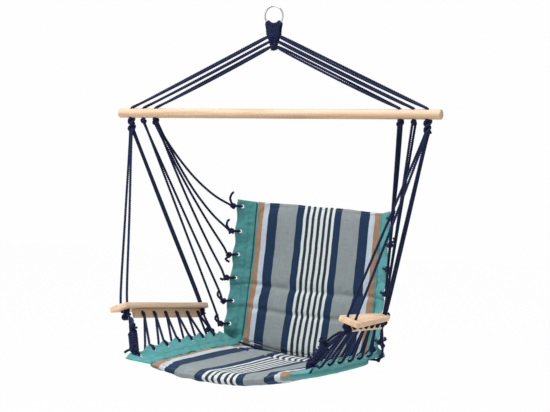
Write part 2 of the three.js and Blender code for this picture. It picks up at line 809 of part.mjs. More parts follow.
sides.forEach(([word, side]) => {
  const seatBand = bandSolid(seatMiddle, side, seatDepth, seatBandSlant, seatEyelets[0], seatEyeletPitch, 21);
  addPiece(`seat_band_${word}`, drilledBand(seatMiddle, side, seatBand, seatEyelets), bandCloth);
  const backBand = bandSolid(backMiddle, side, backHeight, 0, backEyelets[0], backEyeletPitch, 18);
  addPiece(`back_band_${word}`, drilledBand(backMiddle, side, backBand, backEyelets), bandCloth);
  backEyelets.forEach((place, i) => {
    addPiece(`back_eyelet_${word}_${i + 1}`, eyeletGeometry(backMiddle, side, place), steel);
    addPiece(`back_rope_${word}_${i + 1}`, backRope(side, i), rope);
  });
});

export default chair;
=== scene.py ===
# A hammock chair: a steel ring, a rope neck, twelve ropes to a round wooden spreader bar, and below
# it the ropes that carry two armrests and a striped padded seat and back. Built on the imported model.
import math

import bmesh
import bpy
import numpy as np
from mathutils import Matrix, Vector, noise


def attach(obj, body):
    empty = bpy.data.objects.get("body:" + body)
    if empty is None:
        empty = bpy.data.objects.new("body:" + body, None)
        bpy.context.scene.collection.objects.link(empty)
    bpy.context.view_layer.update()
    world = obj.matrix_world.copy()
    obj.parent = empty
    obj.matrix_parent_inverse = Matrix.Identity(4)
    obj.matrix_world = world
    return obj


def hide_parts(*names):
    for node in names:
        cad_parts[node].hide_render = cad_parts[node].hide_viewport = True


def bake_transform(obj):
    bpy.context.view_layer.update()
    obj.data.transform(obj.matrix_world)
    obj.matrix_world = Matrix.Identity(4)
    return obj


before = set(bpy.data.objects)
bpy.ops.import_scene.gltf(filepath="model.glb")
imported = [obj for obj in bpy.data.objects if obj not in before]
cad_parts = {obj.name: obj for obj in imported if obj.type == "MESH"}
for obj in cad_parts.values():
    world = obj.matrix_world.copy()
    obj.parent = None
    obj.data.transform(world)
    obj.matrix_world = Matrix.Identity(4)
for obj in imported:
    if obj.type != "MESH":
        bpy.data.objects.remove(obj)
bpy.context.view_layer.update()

# The camera. A plain product view from 26 degrees to the left of the sitter's front, level with the
# upper part of the chair, through a long lens from 4.8 m, which is how the photograph was fitted.
photo_width_px = 550
focal_px = 1714.2
view_yaw, view_pitch, view_roll = (math.radians(a) for a in (25.946, 3.315, 0.164))
camera_place = Vector((2.1042, -4.3142, -0.2776))

ahead = Vector((-math.sin(view_yaw) * math.cos(view_pitch), math.cos(view_yaw) * math.cos(view_pitch),
                -math.sin(view_pitch)))
level_right = Vector((math.cos(view_yaw), math.sin(view_yaw), 0))
level_up = level_right.cross(ahead)
tilted_right = level_right * math.cos(view_roll) + level_up * math.sin(view_roll)
tilted_up = level_up * math.cos(view_roll) - level_right * math.sin(view_roll)
lens = bpy.data.cameras.new("photo_lens")
lens.sensor_fit = "HORIZONTAL"
lens.sensor_width = 36
lens.lens = focal_px / photo_width_px * lens.sensor_width
camera = bpy.data.objects.new("photo_camera", lens)
camera.matrix_world = Matrix((
    (tilted_right.x, tilted_up.x, -ahead.x, camera_place.x),
    (tilted_right.y, tilted_up.y, -ahead.y, camera_place.y),
    (tilted_right.z, tilted_up.z, -ahead.z, camera_place.z), (0, 0, 0, 1)))
bpy.context.scene.collection.objects.link(camera)
bpy.context.scene.camera = camera

# The ring. One closed loop of 5 mm round steel, 50 mm inside, bent and butt-welded, then bright
# plated. The weld is a slight swelling at the top, where the hook hides it.
ring_bore, ring_wire = 0.050, 0.005
ring_centre = Vector((0, 0, -ring_bore / 2))
wire_circle = (ring_bore + ring_wire) / 2
weld_swell, weld_degrees = 0.06, 4


def shader(name, roughness, **sockets):
    """A new finish and its shader node, with its sockets set by name."""
    finish = bpy.data.materials.new(name)
    finish.use_nodes = True
    surface = finish.node_tree.nodes["Principled BSDF"]
    surface.inputs["Roughness"].default_value = roughness
    for socket, value in sockets.items():
        surface.inputs[socket.replace("_", " ")].default_value = value
    return finish, surface


def srgb(code):
    """A colour as a paint maker writes it, six hex digits, turned into linear light."""
    parts = [int(code[i:i + 2], 16) / 255 for i in (0, 2, 4)]
    return tuple(c / 12.92 if c <= 0.04045 else ((c + 0.055) / 1.055) ** 2.4 for c in parts) + (1,)


def node(owner, kind, inputs=(), **settings):
    """One node of a finish or of a tree. Its inputs are plain values or other nodes' sockets."""
    tree = owner.node_tree if hasattr(owner, "node_tree") else owner
    made = tree.nodes.new(kind)
    for setting, value in settings.items():
        setattr(made, setting, value)
    for socket, value in dict(inputs).items():
        if isinstance(value, bpy.types.NodeSocket):
            tree.links.new(value, made.inputs[socket])
        else:
            made.inputs[socket].default_value = value
    return made


def reckon(owner, operation, *values):
    """The result of one sum on numbers and sockets."""
    return node(owner, "ShaderNodeMath", dict(enumerate(values)), operation=operation).outputs[0]


def cloud(finish, place, scale, detail, distortion=0.0):
    """Soft noise from 0 to 1 at a place."""
    return node(finish, "ShaderNodeTexNoise", {"Vector": place, "Scale": scale, "Detail": detail,
                                               "Distortion": distortion}).outputs[0]


def scaled(finish, place, scale):
    """A place with its three axes scaled, so that noise on it is drawn out."""
    return node(finish, "ShaderNodeMapping", {"Vector": place, "Scale": scale}).outputs[0]


def ramp(finish, source, stops, constant=False):
    """Colours laid along a value from 0 to 1."""
    made = node(finish, "ShaderNodeValToRGB", {0: source})
    band = made.color_ramp
    band.interpolation = "CONSTANT" if constant else "LINEAR"
    while len(band.elements) < len(stops):
        band.elements.new(1)
    for element, (place, code) in zip(band.elements, stops):
        element.position = place
        element.color = srgb(code) if isinstance(code, str) else (code, code, code, 1)
    return made.outputs[0]


def join(finish, source, surface, socket):
    finish.node_tree.links.new(source, surface.inputs[socket])


def relief(finish, surface, height, strength, distance):
    """Small bumps on a finish."""
    bump = node(finish, "ShaderNodeBump", {"Height": height, "Strength": strength, "Distance": distance})
    join(finish, bump.outputs[0], surface, "Normal")


def stand(name, shape):
    """Puts a mesh or a lamp into the scene as an object."""
    made = bpy.data.objects.new(name, shape)
    bpy.context.scene.collection.objects.link(made)
    return made


def piece(name, points, faces, finish, smooth=True):
    """A closed mesh with its place in its points, its faces turned outward and its finish on."""
    mesh = bpy.data.meshes.new(name)
    mesh.from_pydata([tuple(p) for p in points], [], faces)
    mesh.validate()
    mesh.materials.append(finish)
    form = bmesh.new()
    form.from_mesh(mesh)
    bmesh.ops.recalc_face_normals(form, faces=form.faces)
    form.to_mesh(mesh)
    form.free()
    mesh.polygons.foreach_set("use_smooth", [smooth] * len(mesh.polygons))
    return stand(name, mesh)


def worked_in(made):
    """The mesh of an object with its modifiers worked into it."""
    graph = bpy.context.evaluated_depsgraph_get()
    return bpy.data.meshes.new_from_object(made.evaluated_get(graph), depsgraph=graph)


def settle(made):
    """Gives a piece the shape that its modifiers make, and takes them off."""
    mesh = worked_in(made)
    made.modifiers.clear()
    made.data = mesh


def write_on(mesh, name, values):
    """Three numbers for each point of a mesh, read by its finish or by a tree."""
    written = mesh.attributes.new(name, "FLOAT_VECTOR", "POINT")
    written.data.foreach_set("vector", [c for value in values for c in value])


def round_turn(count):
    """Even angles once round."""
    return [2 * math.pi * i / count for i in range(count)]


def hooped(rows, joined=False):
    """A skin over hoops of points. It is joined end to end, or closed by a flat face at each end."""
    points = [p for row in rows for p in row]
    count, faces = len(rows[0]), []
    for i in range(len(rows) if joined else len(rows) - 1):
        a, b = i * count, (i + 1) % len(rows) * count
        faces += [(a + j, a + (j + 1) % count, b + (j + 1) % count, b + j) for j in range(count)]
    if not joined:
        faces += [tuple(range(count)), tuple(range(len(points) - count, len(points)))]
    return points, faces


def hill(distance, width):
    """One at no distance, falling away smoothly past the width."""
    return math.exp(-(distance / width) ** 2)


def ripple(*place):
    """Smooth noise from -1 to 1."""
    return noise.noise(Vector(place))


def stand_for(made, slot, *nodes):
    """Hides the CAD nodes that a piece replaces. Its slot is not used."""
    if nodes:
        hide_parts(*nodes)


def ride_on(made, body, slot, *nodes):
    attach(made, body)
    stand_for(made, slot, *nodes)


plated_steel, steel_shader = shader("plated_steel", 0.2, Metallic=1.0)
steel_cloud = cloud(plated_steel, node(plated_steel, "ShaderNodeTexCoord").outputs["Object"], 240.0, 4.0)
join(plated_steel, ramp(plated_steel, steel_cloud, [(0.3, "8d9196"), (0.7, "bfc2c6")]),
     steel_shader, "Base Color")
steel_drag = node(plated_steel, "ShaderNodeMapRange", {0: steel_cloud, 1: 0.3, 2: 0.7, 3: 0.14, 4: 0.32})
join(plated_steel, steel_drag.outputs[0], steel_shader, "Roughness")
relief(plated_steel, steel_shader, steel_cloud, 0.15, 0.0002)

ring_rows = []
for turn in round_turn(120):
    outward = Vector((math.sin(turn), 0, math.cos(turn)))
    from_weld = math.degrees(min(turn, 2 * math.pi - turn))
    wire = ring_wire / 2 * (1 + weld_swell * hill(from_weld, weld_degrees))
    ring_rows.append([ring_centre + outward * (wire_circle + wire * math.cos(bend))
                      + Vector((0, wire * math.sin(bend), 0)) for bend in round_turn(20)])
ring = piece("hanging_ring", *hooped(ring_rows, joined=True), plated_steel)
ride_on(ring, "top", "steel", "ring")

# The rope and the neck. All rope is 6 mm three-strand laid cotton, dyed dark navy. Over the ring's
# lower wire it is doubled in eight turns, which are gathered under the ring and plaited down to a
# short foot, bound at its top and end, so that the whole neck is one soft braided wedge.
rope_lay = 0.019
neck_foot_drop = 0.120


def follow(points, step=0.003):
    """A smooth line through the given points, close enough together to bend round a knot."""
    p = [Vector(q) for q in points]
    p = [p[0] * 2 - p[1]] + p + [p[-1] * 2 - p[-2]]
    line = []
    for a, b, c, d in zip(p, p[1:], p[2:], p[3:]):
        gaps = [max(1e-5, (v - u).length) ** 0.5 for u, v in ((a, b), (b, c), (c, d))]
        lead = ((b - a) / gaps[0] - (c - a) / (gaps[0] + gaps[1]) + (c - b) / gaps[1]) * gaps[1]
        trail = ((c - b) / gaps[1] - (d - b) / (gaps[1] + gaps[2]) + (d - c) / gaps[2]) * gaps[1]
        count = max(2, round((c - b).length / step))
        for i in range(count):
            t = i / count
            line.append(b * (2 * t ** 3 - 3 * t * t + 1) + lead * (t ** 3 - 2 * t * t + t)
                        + c * (3 * t * t - 2 * t ** 3) + trail * (t ** 3 - t * t))
    return line + [p[-2]]


def taut(points, slack=0.1):
    """Points for a rope under load: each long stretch is kept straight up to its two ends."""
    kept = [Vector(points[0])]
    for here, after in zip(points, points[1:]):
        here, after = Vector(here), Vector(after)
        if (after - here).length > 0.035:
            kept += [here.lerp(after, slack), here.lerp(after, 0.5), here.lerp(after, 1 - slack)]
        kept.append(after)
    return kept


def coil(steps, turns, place, start=0.0):
    """A line wound round and round. The place gives its point from an angle and a share of the way."""
    return [place(start + 2 * math.pi * turns * i / steps, i / steps) for i in range(steps + 1)]


def new_tree(name, guide, sizes):
    """A tree that makes a piece from a guide, and the sockets that it is given."""
    tree = bpy.data.node_groups.new(name, "GeometryNodeTree")
    tree.interface.new_socket(guide, in_out="INPUT", socket_type="NodeSocketGeometry")
    for word, value in sizes.items():
        size = tree.interface.new_socket(word, in_out="INPUT", socket_type="NodeSocketFloat")
        size.default_value = value
    tree.interface.new_socket("Finish", in_out="INPUT", socket_type="NodeSocketMaterial")
    tree.interface.new_socket("Made", in_out="OUTPUT", socket_type="NodeSocketGeometry")
    return tree, node(tree, "NodeGroupInput").outputs


def hand_out(tree, shape, finish):
    """The end of a tree: its shape made whole, smooth and dressed in its finish."""
    whole = node(tree, "GeometryNodeRealizeInstances", {0: shape})
    soft = node(tree, "GeometryNodeSetShadeSmooth", {"Geometry": whole.outputs[0]})
    dressed = node(tree, "GeometryNodeSetMaterial", {"Geometry": soft.outputs[0], "Material": finish})
    node(tree, "NodeGroupOutput", {0: dressed.outputs[0]})


# The tree sweeps a three-lobed section along a route and turns it once in each length of lay.
laid, given = new_tree("laid_rope", "Route", {"Rope radius": 0.0039, "Lay length": rope_lay,
                                              "Step": 0.0019, "Groove": 0.38})
route = node(laid, "GeometryNodeMeshToCurve", {0: given["Route"]})
even_route = node(laid, "GeometryNodeResampleCurve", {"Curve": route.outputs[0], "Length": given["Step"]},
                  mode="LENGTH")
along = node(laid, "GeometryNodeSplineParameter").outputs
turns = reckon(laid, "DIVIDE", along["Length"], given["Lay length"])
twisted = node(laid, "GeometryNodeSetCurveTilt",
               {"Curve": even_route.outputs[0], "Tilt": reckon(laid, "MULTIPLY", turns, 2 * math.pi)})
section = node(laid, "GeometryNodeCurvePrimitiveCircle", {"Resolution": 18, "Radius": 1})
# The crest value is one on the top of each strand and nought in the grooves between strands. It is stored for
# the rope finish, which paints shade into the grooves and highlight on the crests from it.
three_waves = reckon(laid, "SINE", reckon(laid, "MULTIPLY", along["Factor"], 3 * math.pi))
lobe = reckon(laid, "ABSOLUTE", three_waves)
crested = node(laid, "GeometryNodeStoreNamedAttribute",
               {"Geometry": section.outputs[0], "Name": "rope_crest", "Value": lobe})
hollow = reckon(laid, "MULTIPLY", given["Groove"], reckon(laid, "SUBTRACT", 1, lobe))
radius = reckon(laid, "MULTIPLY", given["Rope radius"], reckon(laid, "SUBTRACT", 1, hollow))
grown = node(laid, "ShaderNodeVectorMath",
             {0: node(laid, "GeometryNodeInputPosition").outputs[0], "Scale": radius}, operation="SCALE")
lobed = node(laid, "GeometryNodeSetPosition", {"Geometry": crested.outputs[0], "Position": grown.outputs[0]})
swept = node(laid, "GeometryNodeCurveToMesh",
             {"Curve": twisted.outputs[0], "Profile Curve": lobed.outputs[0], "Fill Caps": True})
hand_out(laid, swept.outputs[0], given["Finish"])

navy_rope, rope_shader = shader("navy_cotton_rope", 0.9, Sheen_Weight=0.1, Sheen_Roughness=0.5,
                                Specular_IOR_Level=0.2)
# The rope's base colour holds painted shade and painted highlight. From the crest value it is darkest in the
# grooves between the strands and lightest on their crests. Fine flecks lie on the crests, and a broad noise
# varies its tone.
rope_place = node(navy_rope, "ShaderNodeTexCoord").outputs["Object"]
rope_crest = node(navy_rope, "ShaderNodeAttribute", attribute_name="rope_crest").outputs["Fac"]
painted_crest_light = reckon(navy_rope, "MULTIPLY", rope_crest, cloud(navy_rope, rope_place, 900.0, 3.0))
rope_tone_and_painted_shade = reckon(navy_rope, "MULTIPLY_ADD", painted_crest_light, cloud(navy_rope, rope_place, 22.0, 2.0), 0.12)
rope_colours = [(0.0, "0a1022"), (0.35, "142046"), (0.6, "26396c"), (0.85, "586ca0")]
join(navy_rope, ramp(navy_rope, rope_tone_and_painted_shade, rope_colours), rope_shader, "Base Color")
relief(navy_rope, rope_shader, cloud(navy_rope, rope_place, 1500.0, 2.0), 0.5, 0.0005)


def made_by(tree, name, guide_mesh, finish, **sizes):
    """The plain mesh that a tree makes from a guide, with the guide and its modifier gone."""
    guide = stand(name + "_guide", guide_mesh)
    making = guide.modifiers.new("making", "NODES")
    making.node_group = tree
    for item in tree.interface.items_tree:
        word = item.name.replace(" ", "_").lower()
        if item.in_out == "INPUT" and item.socket_type == "NodeSocketMaterial":
            making[item.identifier] = finish
        elif item.in_out == "INPUT" and word in sizes:
            making[item.identifier] = sizes[word]
    mesh = worked_in(guide)
    mesh.name = name
    bpy.data.objects.remove(guide)
    bpy.data.meshes.remove(guide_mesh)
    return stand(name, mesh)


def lay_rope(name, routes, **sizes):
    """Laid rope along one smooth route, or along several at once for a knot or a bundle."""
    routes = routes if isinstance(routes[0], list) else [routes]
    points = [tuple(p) for route in routes for p in route]
    edges, first = [], 0
    for route in routes:
        edges += [(first + i, first + i + 1) for i in range(len(route) - 1)]
        first += len(route)
    guide = bpy.data.meshes.new(name + "_route")
    guide.from_pydata(points, edges, [])
    return made_by(laid, name, guide, navy_rope, **sizes)


def knot_turns(centre, axis, width, height, strand=0.0074, start=0.0):
    """The line of a tight overhand knot: twice round its axis while it turns three times through."""
    axis = Vector(axis).normalized()
    aside = axis.orthogonal().normalized()
    other = axis.cross(aside)
    tube = min(strand * 0.42, width / 4 - strand * 0.2)
    circle = width / 2 - strand / 2 - tube
    line = []
    for i in range(73):
        t = 2 * math.pi * i / 72
        out = circle + tube * math.cos(3 * t)
        line.append(Vector(centre) + (aside * math.cos(2 * t + start) + other * math.sin(2 * t + start)) * out
                    + axis * (height / 2 - strand / 2) * math.sin(3 * t))
    return line


def tie_knot(name, centre, axis, width, height, body, start=0.0, strand=0.0074):
    knot = lay_rope(name, knot_turns(centre, axis, width, height, strand, start),
                    rope_radius=strand / 2, step=0.0016)
    ride_on(knot, body, "rope")
    return knot


def free_rope(rope, stands_for):
    """Hides the CAD node that a rope piece stands for."""
    stand_for(rope, "rope", stands_for)


neck_fan, wrap_radius, foot_half = math.radians(46), 0.0056, 0.0165
plait_turns, plait_top_half, plait_foot_half = 2.15, 0.0162, 0.0040
neck_routes = []
for i in range(8):
    across = (i - 3.5) / 3.5
    turn = neck_fan * across
    wire = ring_centre + Vector((math.sin(turn), 0, -math.cos(turn))) * wire_circle
    inward = (ring_centre - wire).normalized()
    foot_x = across * foot_half
    leg = [(foot_x * 0.62, 0.0042, -0.094), (foot_x, 0.0074, -0.076), (wire.x * 0.88, 0.0076, -0.0625)]
    loop = [Vector((x, -y, z)) for x, y, z in leg]
    for j in range(7):
        bend = math.radians(-20 + 220 * j / 6)
        loop.append(wire - Vector((0, wrap_radius * math.cos(bend), 0))
                    + inward * wrap_radius * math.sin(bend))
    loop += [Vector(place) for place in reversed(leg)]
    neck_routes.append(follow(loop, 0.0016))
for strand in range(3):
    for lane in (-1, 1):
        line = []
        for i in range(91):
            share = i / 90
            phase = 2 * math.pi * (share * plait_turns + strand / 3)
            half = plait_top_half * (1 - share) + plait_foot_half * share
            line.append(Vector((half * math.sin(phase) + lane * 0.0026 * math.cos(phase),
                                (0.0052 - 0.0012 * share) * math.sin(2 * phase) + lane * 0.0014,
                                -0.066 - 0.053 * share)))
        neck_routes.append(line)
neck_routes.append(coil(96, 1.6, lambda turn, share: Vector((
    (0.0172 - 0.003 * share) * math.sin(turn), 0.0098 * math.cos(turn), -0.0745 - 0.0085 * share))))
neck_routes.append(coil(72, 2.2, lambda turn, share: Vector((
    0.0066 * math.sin(turn), 0.0072 * math.cos(turn), -0.107 - 0.0105 * share)), start=1))
neck_ropes = lay_rope("neck_plait", neck_routes, rope_radius=0.0035, step=0.0015)
ride_on(neck_ropes, "top", "rope", "neck")

# A solid core fills the gaps in the plait. It carries no crest values, so the rope finish paints it all over
# in its darkest groove shade, as painted shade behind the strands.
core_rows = []
for i in range(15):
    share = i / 14
    cap = max(0.15, math.sqrt(max(0.0, 1 - (2 * share - 1) ** 8)))
    half = (0.0176 * (1 - share) + 0.0050 * share) * cap
    deep = (0.0058 * (1 - share) + 0.0044 * share) * cap
    core_rows.append([(half * math.cos(turn), deep * math.sin(turn), -(0.0588 + share * 0.058))
                      for turn in round_turn(20)])
neck_core = piece("neck_core", *hooped(core_rows), navy_rope)
ride_on(neck_core, "top", "rope")

# The spreader bar. One metre of turned pale softwood dowel, 28 mm thick, sanded, with its ends
# eased over and three upright holes near each end that the paired ropes pass through.
bar_length, bar_width, bar_drop, bar_end_ease = 1.0, 0.028, 0.297, 0.004
hole_places = [0.460, 0.420, 0.380]
bar_hole_width = 0.0133


def wood_finish(name, pale, mid, deep):
    """Sanded softwood. Its grain runs along the grain attribute's X, which each piece carries."""
    finish, surface = shader(name, 0.55)
    grain = node(finish, "ShaderNodeAttribute", attribute_name="grain").outputs["Vector"]
    sway = cloud(finish, scaled(finish, grain, (1.6, 26.0, 26.0)), 3.0, 2.0, 0.35)
    lines = cloud(finish, scaled(finish, grain, (5.0, 240.0, 240.0)), 1.0, 5.0, 0.6)
    tone = reckon(finish, "MULTIPLY", reckon(finish, "ADD", sway, lines), 0.5)
    join(finish, ramp(finish, tone, [(0.36, deep), (0.47, mid), (0.6, pale)]), surface, "Base Color")
    fibre = cloud(finish, scaled(finish, grain, (40.0, 900.0, 900.0)), 1.0, 3.0)
    rough = node(finish, "ShaderNodeMapRange", {0: fibre, 3: 0.48, 4: 0.68})
    join(finish, rough.outputs[0], surface, "Roughness")
    relief(finish, surface, fibre, 0.25, 0.0003)
    return finish


bar_wood = wood_finish("pale_dowel_wood", "d9bca0", "d1b090", "c39e79")


def drilled(made, holes, grain_of):
    """Round holes cut through a wooden piece, its edges eased, and its grain written on it."""
    cutter_points, cutter_faces = [], []
    for start, end, width in holes:
        axis = (end - start).normalized()
        aside = axis.orthogonal().normalized()
        other = axis.cross(aside)
        hoops = [[middle + (aside * math.cos(turn) + other * math.sin(turn)) * width / 2
                  for turn in round_turn(28)] for middle in (start, end)]
        points, faces = hooped(hoops)
        cutter_faces += [tuple(len(cutter_points) + corner for corner in face) for face in faces]
        cutter_points += points
    cutter = piece(made.name + "_drill", cutter_points, cutter_faces, made.data.materials[0], False)
    cut = made.modifiers.new("drilled", "BOOLEAN")
    cut.operation, cut.solver, cut.object = "DIFFERENCE", "EXACT", cutter
    ease = made.modifiers.new("eased", "BEVEL")
    ease.width, ease.segments, ease.limit_method, ease.angle_limit = 0.0005, 2, "ANGLE", math.radians(50)
    ease.harden_normals = True
    settle(made)
    bpy.data.objects.remove(cutter)
    write_on(made.data, "grain", [grain_of(v.co) for v in made.data.vertices])


bar_end = [(bar_end_ease * (1 - math.cos(a)), bar_width / 2 - bar_end_ease * (1 - math.sin(a)))
           for a in (math.radians(d) for d in range(0, 91, 15))]
outline = bar_end + [(x, bar_width / 2) for x in np.linspace(0.03, bar_length - 0.03, 60)]
outline += [(bar_length - x, r) for x, r in reversed(bar_end)]
bar_rows = [[(x - bar_length / 2, r * math.cos(turn), r * math.sin(turn) - bar_drop)
             for turn in round_turn(72)] for x, r in outline]
bar = piece("spreader_bar_turned", *hooped(bar_rows), bar_wood)
drilled(bar, [(Vector((s * x, 0, -bar_drop - 0.02)), Vector((s * x, 0, -bar_drop + 0.02)), bar_hole_width)
              for s in (-1, 1) for x in hole_places], lambda p: (p.x, p.y, p.z + bar_drop))
ride_on(bar, "hanger", "wood", "spreader_bar")

# The upper ropes. Two side by side leave the neck at each of three heights on each side, run to a
# hole, bend over the bar's top into it, and are stopped under the bar by an overhand knot.
knot_width, knot_gap = 0.020, 0.0003
knot_drop = bar_drop + bar_width / 2 + knot_gap + knot_width / 2
pair_offset = 0.00335
sides = (("left", -1), ("right", 1))


def bar_knot(side, hole):
    return Vector((side * hole_places[hole], 0, -knot_drop))


exit_rise, exit_pitch = 0.012, 0.016
pair_spread = [0.0032, 0.0020, 0.0037]
bar_knot_sizes = [(0.0262, 0.0240), (0.0205, 0.0175), (0.0235, 0.0245)]
upward = Vector((0, 0, 1))
for word, side in sides:
    for hole in range(3):
        knot = tie_knot(f"bar_knot_{word}_{hole + 1}", bar_knot(side, hole) + upward * 0.002,
                        (0.15 * side, 0.1, 1), *bar_knot_sizes[hole], "hanger", start=1.3 * hole + side)
        exit_z = exit_rise + (2 - hole) * exit_pitch - neck_foot_drop
        top = Vector((side * hole_places[hole], 0, bar_width / 2 - bar_drop))
        for strand, way in (("front", -1), ("rear", 1)):
            aside = Vector((0, way * pair_offset, 0))
            start = Vector((side * 0.004, way * pair_offset * 0.7, exit_z))
            run = (top - start).normalized()
            part = way * pair_spread[hole]
            line = follow([
                start, start.lerp(top, 0.06) + upward * part * 0.7,
                start.lerp(top, 0.30) + aside * 0.3 + upward * (part - 0.0010),
                start.lerp(top, 0.62) + aside * 0.6 + upward * (part * 0.9 - 0.0012),
                top - run * 0.045 + upward * part * 0.35 + aside,
                top - run * 0.011 + upward * 0.0009 + aside, top - run * 0.003 + upward * 0.0004 + aside,
                top + Vector((side * 0.0006, 0, -0.0035)) + aside, top - upward * 0.010 + aside,
                top - upward * 0.028 + aside * 0.8, bar_knot(side, hole) + aside * 0.5])
            rope = lay_rope(f"upper_rope_{word}_{hole + 1}_{strand}", line)
            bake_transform(rope)
            free_rope(rope, f"upper_ropes_{word}_{hole + 1}")

# The armrests. Each is a flat sanded softwood board with rounded corners, and under it a narrower
# rail, glued on edge and set back from the front, with six holes for the lacing. The board's inner
# edge is straight and its outer edge tapers towards the rear.
arm_gap, arm_front, arm_drop = 0.646, 0.270, 0.816
arm_toe, arm_pitch, arm_roll = math.radians(6.5), math.radians(5.5), math.radians(19)
board_length, board_width, board_rear_width = 0.407, 0.058, 0.028
board_thick, board_corner, board_ease = 0.015, 0.007, 0.0016
rail_thick, rail_height, rail_front, rail_length, rail_inner = 0.010, 0.025, 0.054, 0.320, 0.013
under_board = -board_thick - knot_gap
small_hole, rail_ease = 0.008, 0.0012
rail_middle, rail_hole_up = rail_inner + rail_thick / 2, under_board - 0.011
rail_holes = [rail_front + 0.034 + i * 0.054 for i in range(6)]
front_hole_outs, rear_hole_out = (0.014, 0.037), 0.014
front_hole_back, rear_hole_back = 0.029, 0.385

arm_corner = Vector((arm_gap / 2, -arm_front, -arm_drop))
arm_back = Vector((-math.sin(arm_toe) * math.cos(arm_pitch), math.cos(arm_toe) * math.cos(arm_pitch),
                   -math.sin(arm_pitch)))
arm_out = Vector((math.cos(arm_roll) * math.cos(arm_toe), math.cos(arm_roll) * math.sin(arm_toe),
                  -math.sin(arm_roll)))
arm_out = (arm_out - arm_back * arm_out.dot(arm_back)).normalized()
arm_up = arm_out.cross(arm_back)


def on_arm(side, out, back, up):
    """A place on an armrest: out from its inner edge, back from its front end, up from its top."""
    p = arm_corner + arm_out * out + arm_back * back + arm_up * up
    return Vector((side * p.x, p.y, p.z))


def arm_ways(side):
    """The directions out, back and up on an armrest."""
    return [Vector((side * way.x, way.y, way.z)) for way in (arm_out, arm_back, arm_up)]


def slab(name, outline, low, high, ease, finish, side):
    """A board cut to an outline, its long edges eased over, set in its place on the armrest."""
    form = bmesh.new()
    bottom = form.faces.new([form.verts.new((x, y, low)) for x, y in outline])
    top = bmesh.ops.extrude_face_region(form, geom=[bottom])["geom"]
    for corner in (v for v in top if isinstance(v, bmesh.types.BMVert)):
        corner.co.z = high
    rim = [e for e in form.edges if abs(e.verts[0].co.z - e.verts[1].co.z) < 1e-6]
    bmesh.ops.bevel(form, geom=rim, offset=ease, segments=3, affect="EDGES", profile=0.5)
    bmesh.ops.recalc_face_normals(form, faces=form.faces)
    mesh = bpy.data.meshes.new(name)
    form.to_mesh(mesh)
    form.free()
    for v in mesh.vertices:
        v.co = on_arm(side, *v.co)
    if side < 0:
        mesh.flip_normals()
    mesh.materials.append(finish)
    mesh.polygons.foreach_set("use_smooth", [True] * len(mesh.polygons))
    return stand(name, mesh)


board_wood = wood_finish("pale_board_wood", "e7c9ac", "ddbb98", "cea57f")
taper = math.degrees(math.atan((board_width - board_rear_width) / (board_length - 2 * board_corner)))
board_outline = []
for cx, cy, first, last in ((board_width - board_corner, board_corner, -90, taper),
                            (board_rear_width - board_corner, board_length - board_corner, taper, 90),
                            (board_corner, board_length - board_corner, 90, 180),
                            (board_corner, board_corner, 180, 270)):
    corner_turns = [math.radians(first + (last - first) * i / 6) for i in range(7)]
    board_outline += [(cx + board_corner * math.cos(a), cy + board_corner * math.sin(a))
                      for a in corner_turns]
rail_outline = [(rail_inner, rail_front), (rail_inner + rail_thick, rail_front),
                (rail_inner + rail_thick, rail_front + rail_length), (rail_inner, rail_front + rail_length)]
for word, side in sides:
    home = on_arm(side, 0, 0, 0)
    ways = arm_ways(side)

    def along_grain(p, home=home, ways=ways, side=side):
        out, back, up = [(Vector(p) - home).dot(way) for way in ways]
        return (back + 3 + side, out, up)

    board = slab(f"arm_board_sanded_{word}", board_outline, -board_thick, 0, board_ease, board_wood, side)
    drilled(board, [(on_arm(side, out, back, -0.02), on_arm(side, out, back, 0.005), width)
                    for out, back, width in ((front_hole_outs[0], front_hole_back, small_hole),
                                             (front_hole_outs[1], front_hole_back, small_hole),
                                             (rear_hole_out, rear_hole_back, bar_hole_width))], along_grain)
    rail = slab(f"arm_rail_sanded_{word}", rail_outline, under_board - rail_height, under_board, rail_ease,
                board_wood, side)
    drilled(rail, [(on_arm(side, rail_inner - 0.004, back, rail_hole_up),
                    on_arm(side, rail_inner + rail_thick + 0.004, back, rail_hole_up), small_hole)
                   for back in rail_holes], along_grain)
    ride_on(board, f"arm_{word}", "wood", f"arm_board_{word}")
    ride_on(rail, f"arm_{word}", "wood", f"arm_rail_{word}")

# The armrest ropes. Four ropes are gathered in one more knot right under the bar's outermost knot.
# Two go to the board's front holes and two to its rear hole, each stopped by a knot underneath.
front_knot_out = sum(front_hole_outs) / 2
front_knot_places = ((-0.0045, 0.0100), (0.0040, 0.0190))


def front_knot_centre(side):
    return on_arm(side, front_knot_out, front_hole_back, under_board - knot_width / 2)


def rear_knot_centre(side):
    return on_arm(side, rear_hole_out, rear_hole_back, under_board - knot_width / 2)


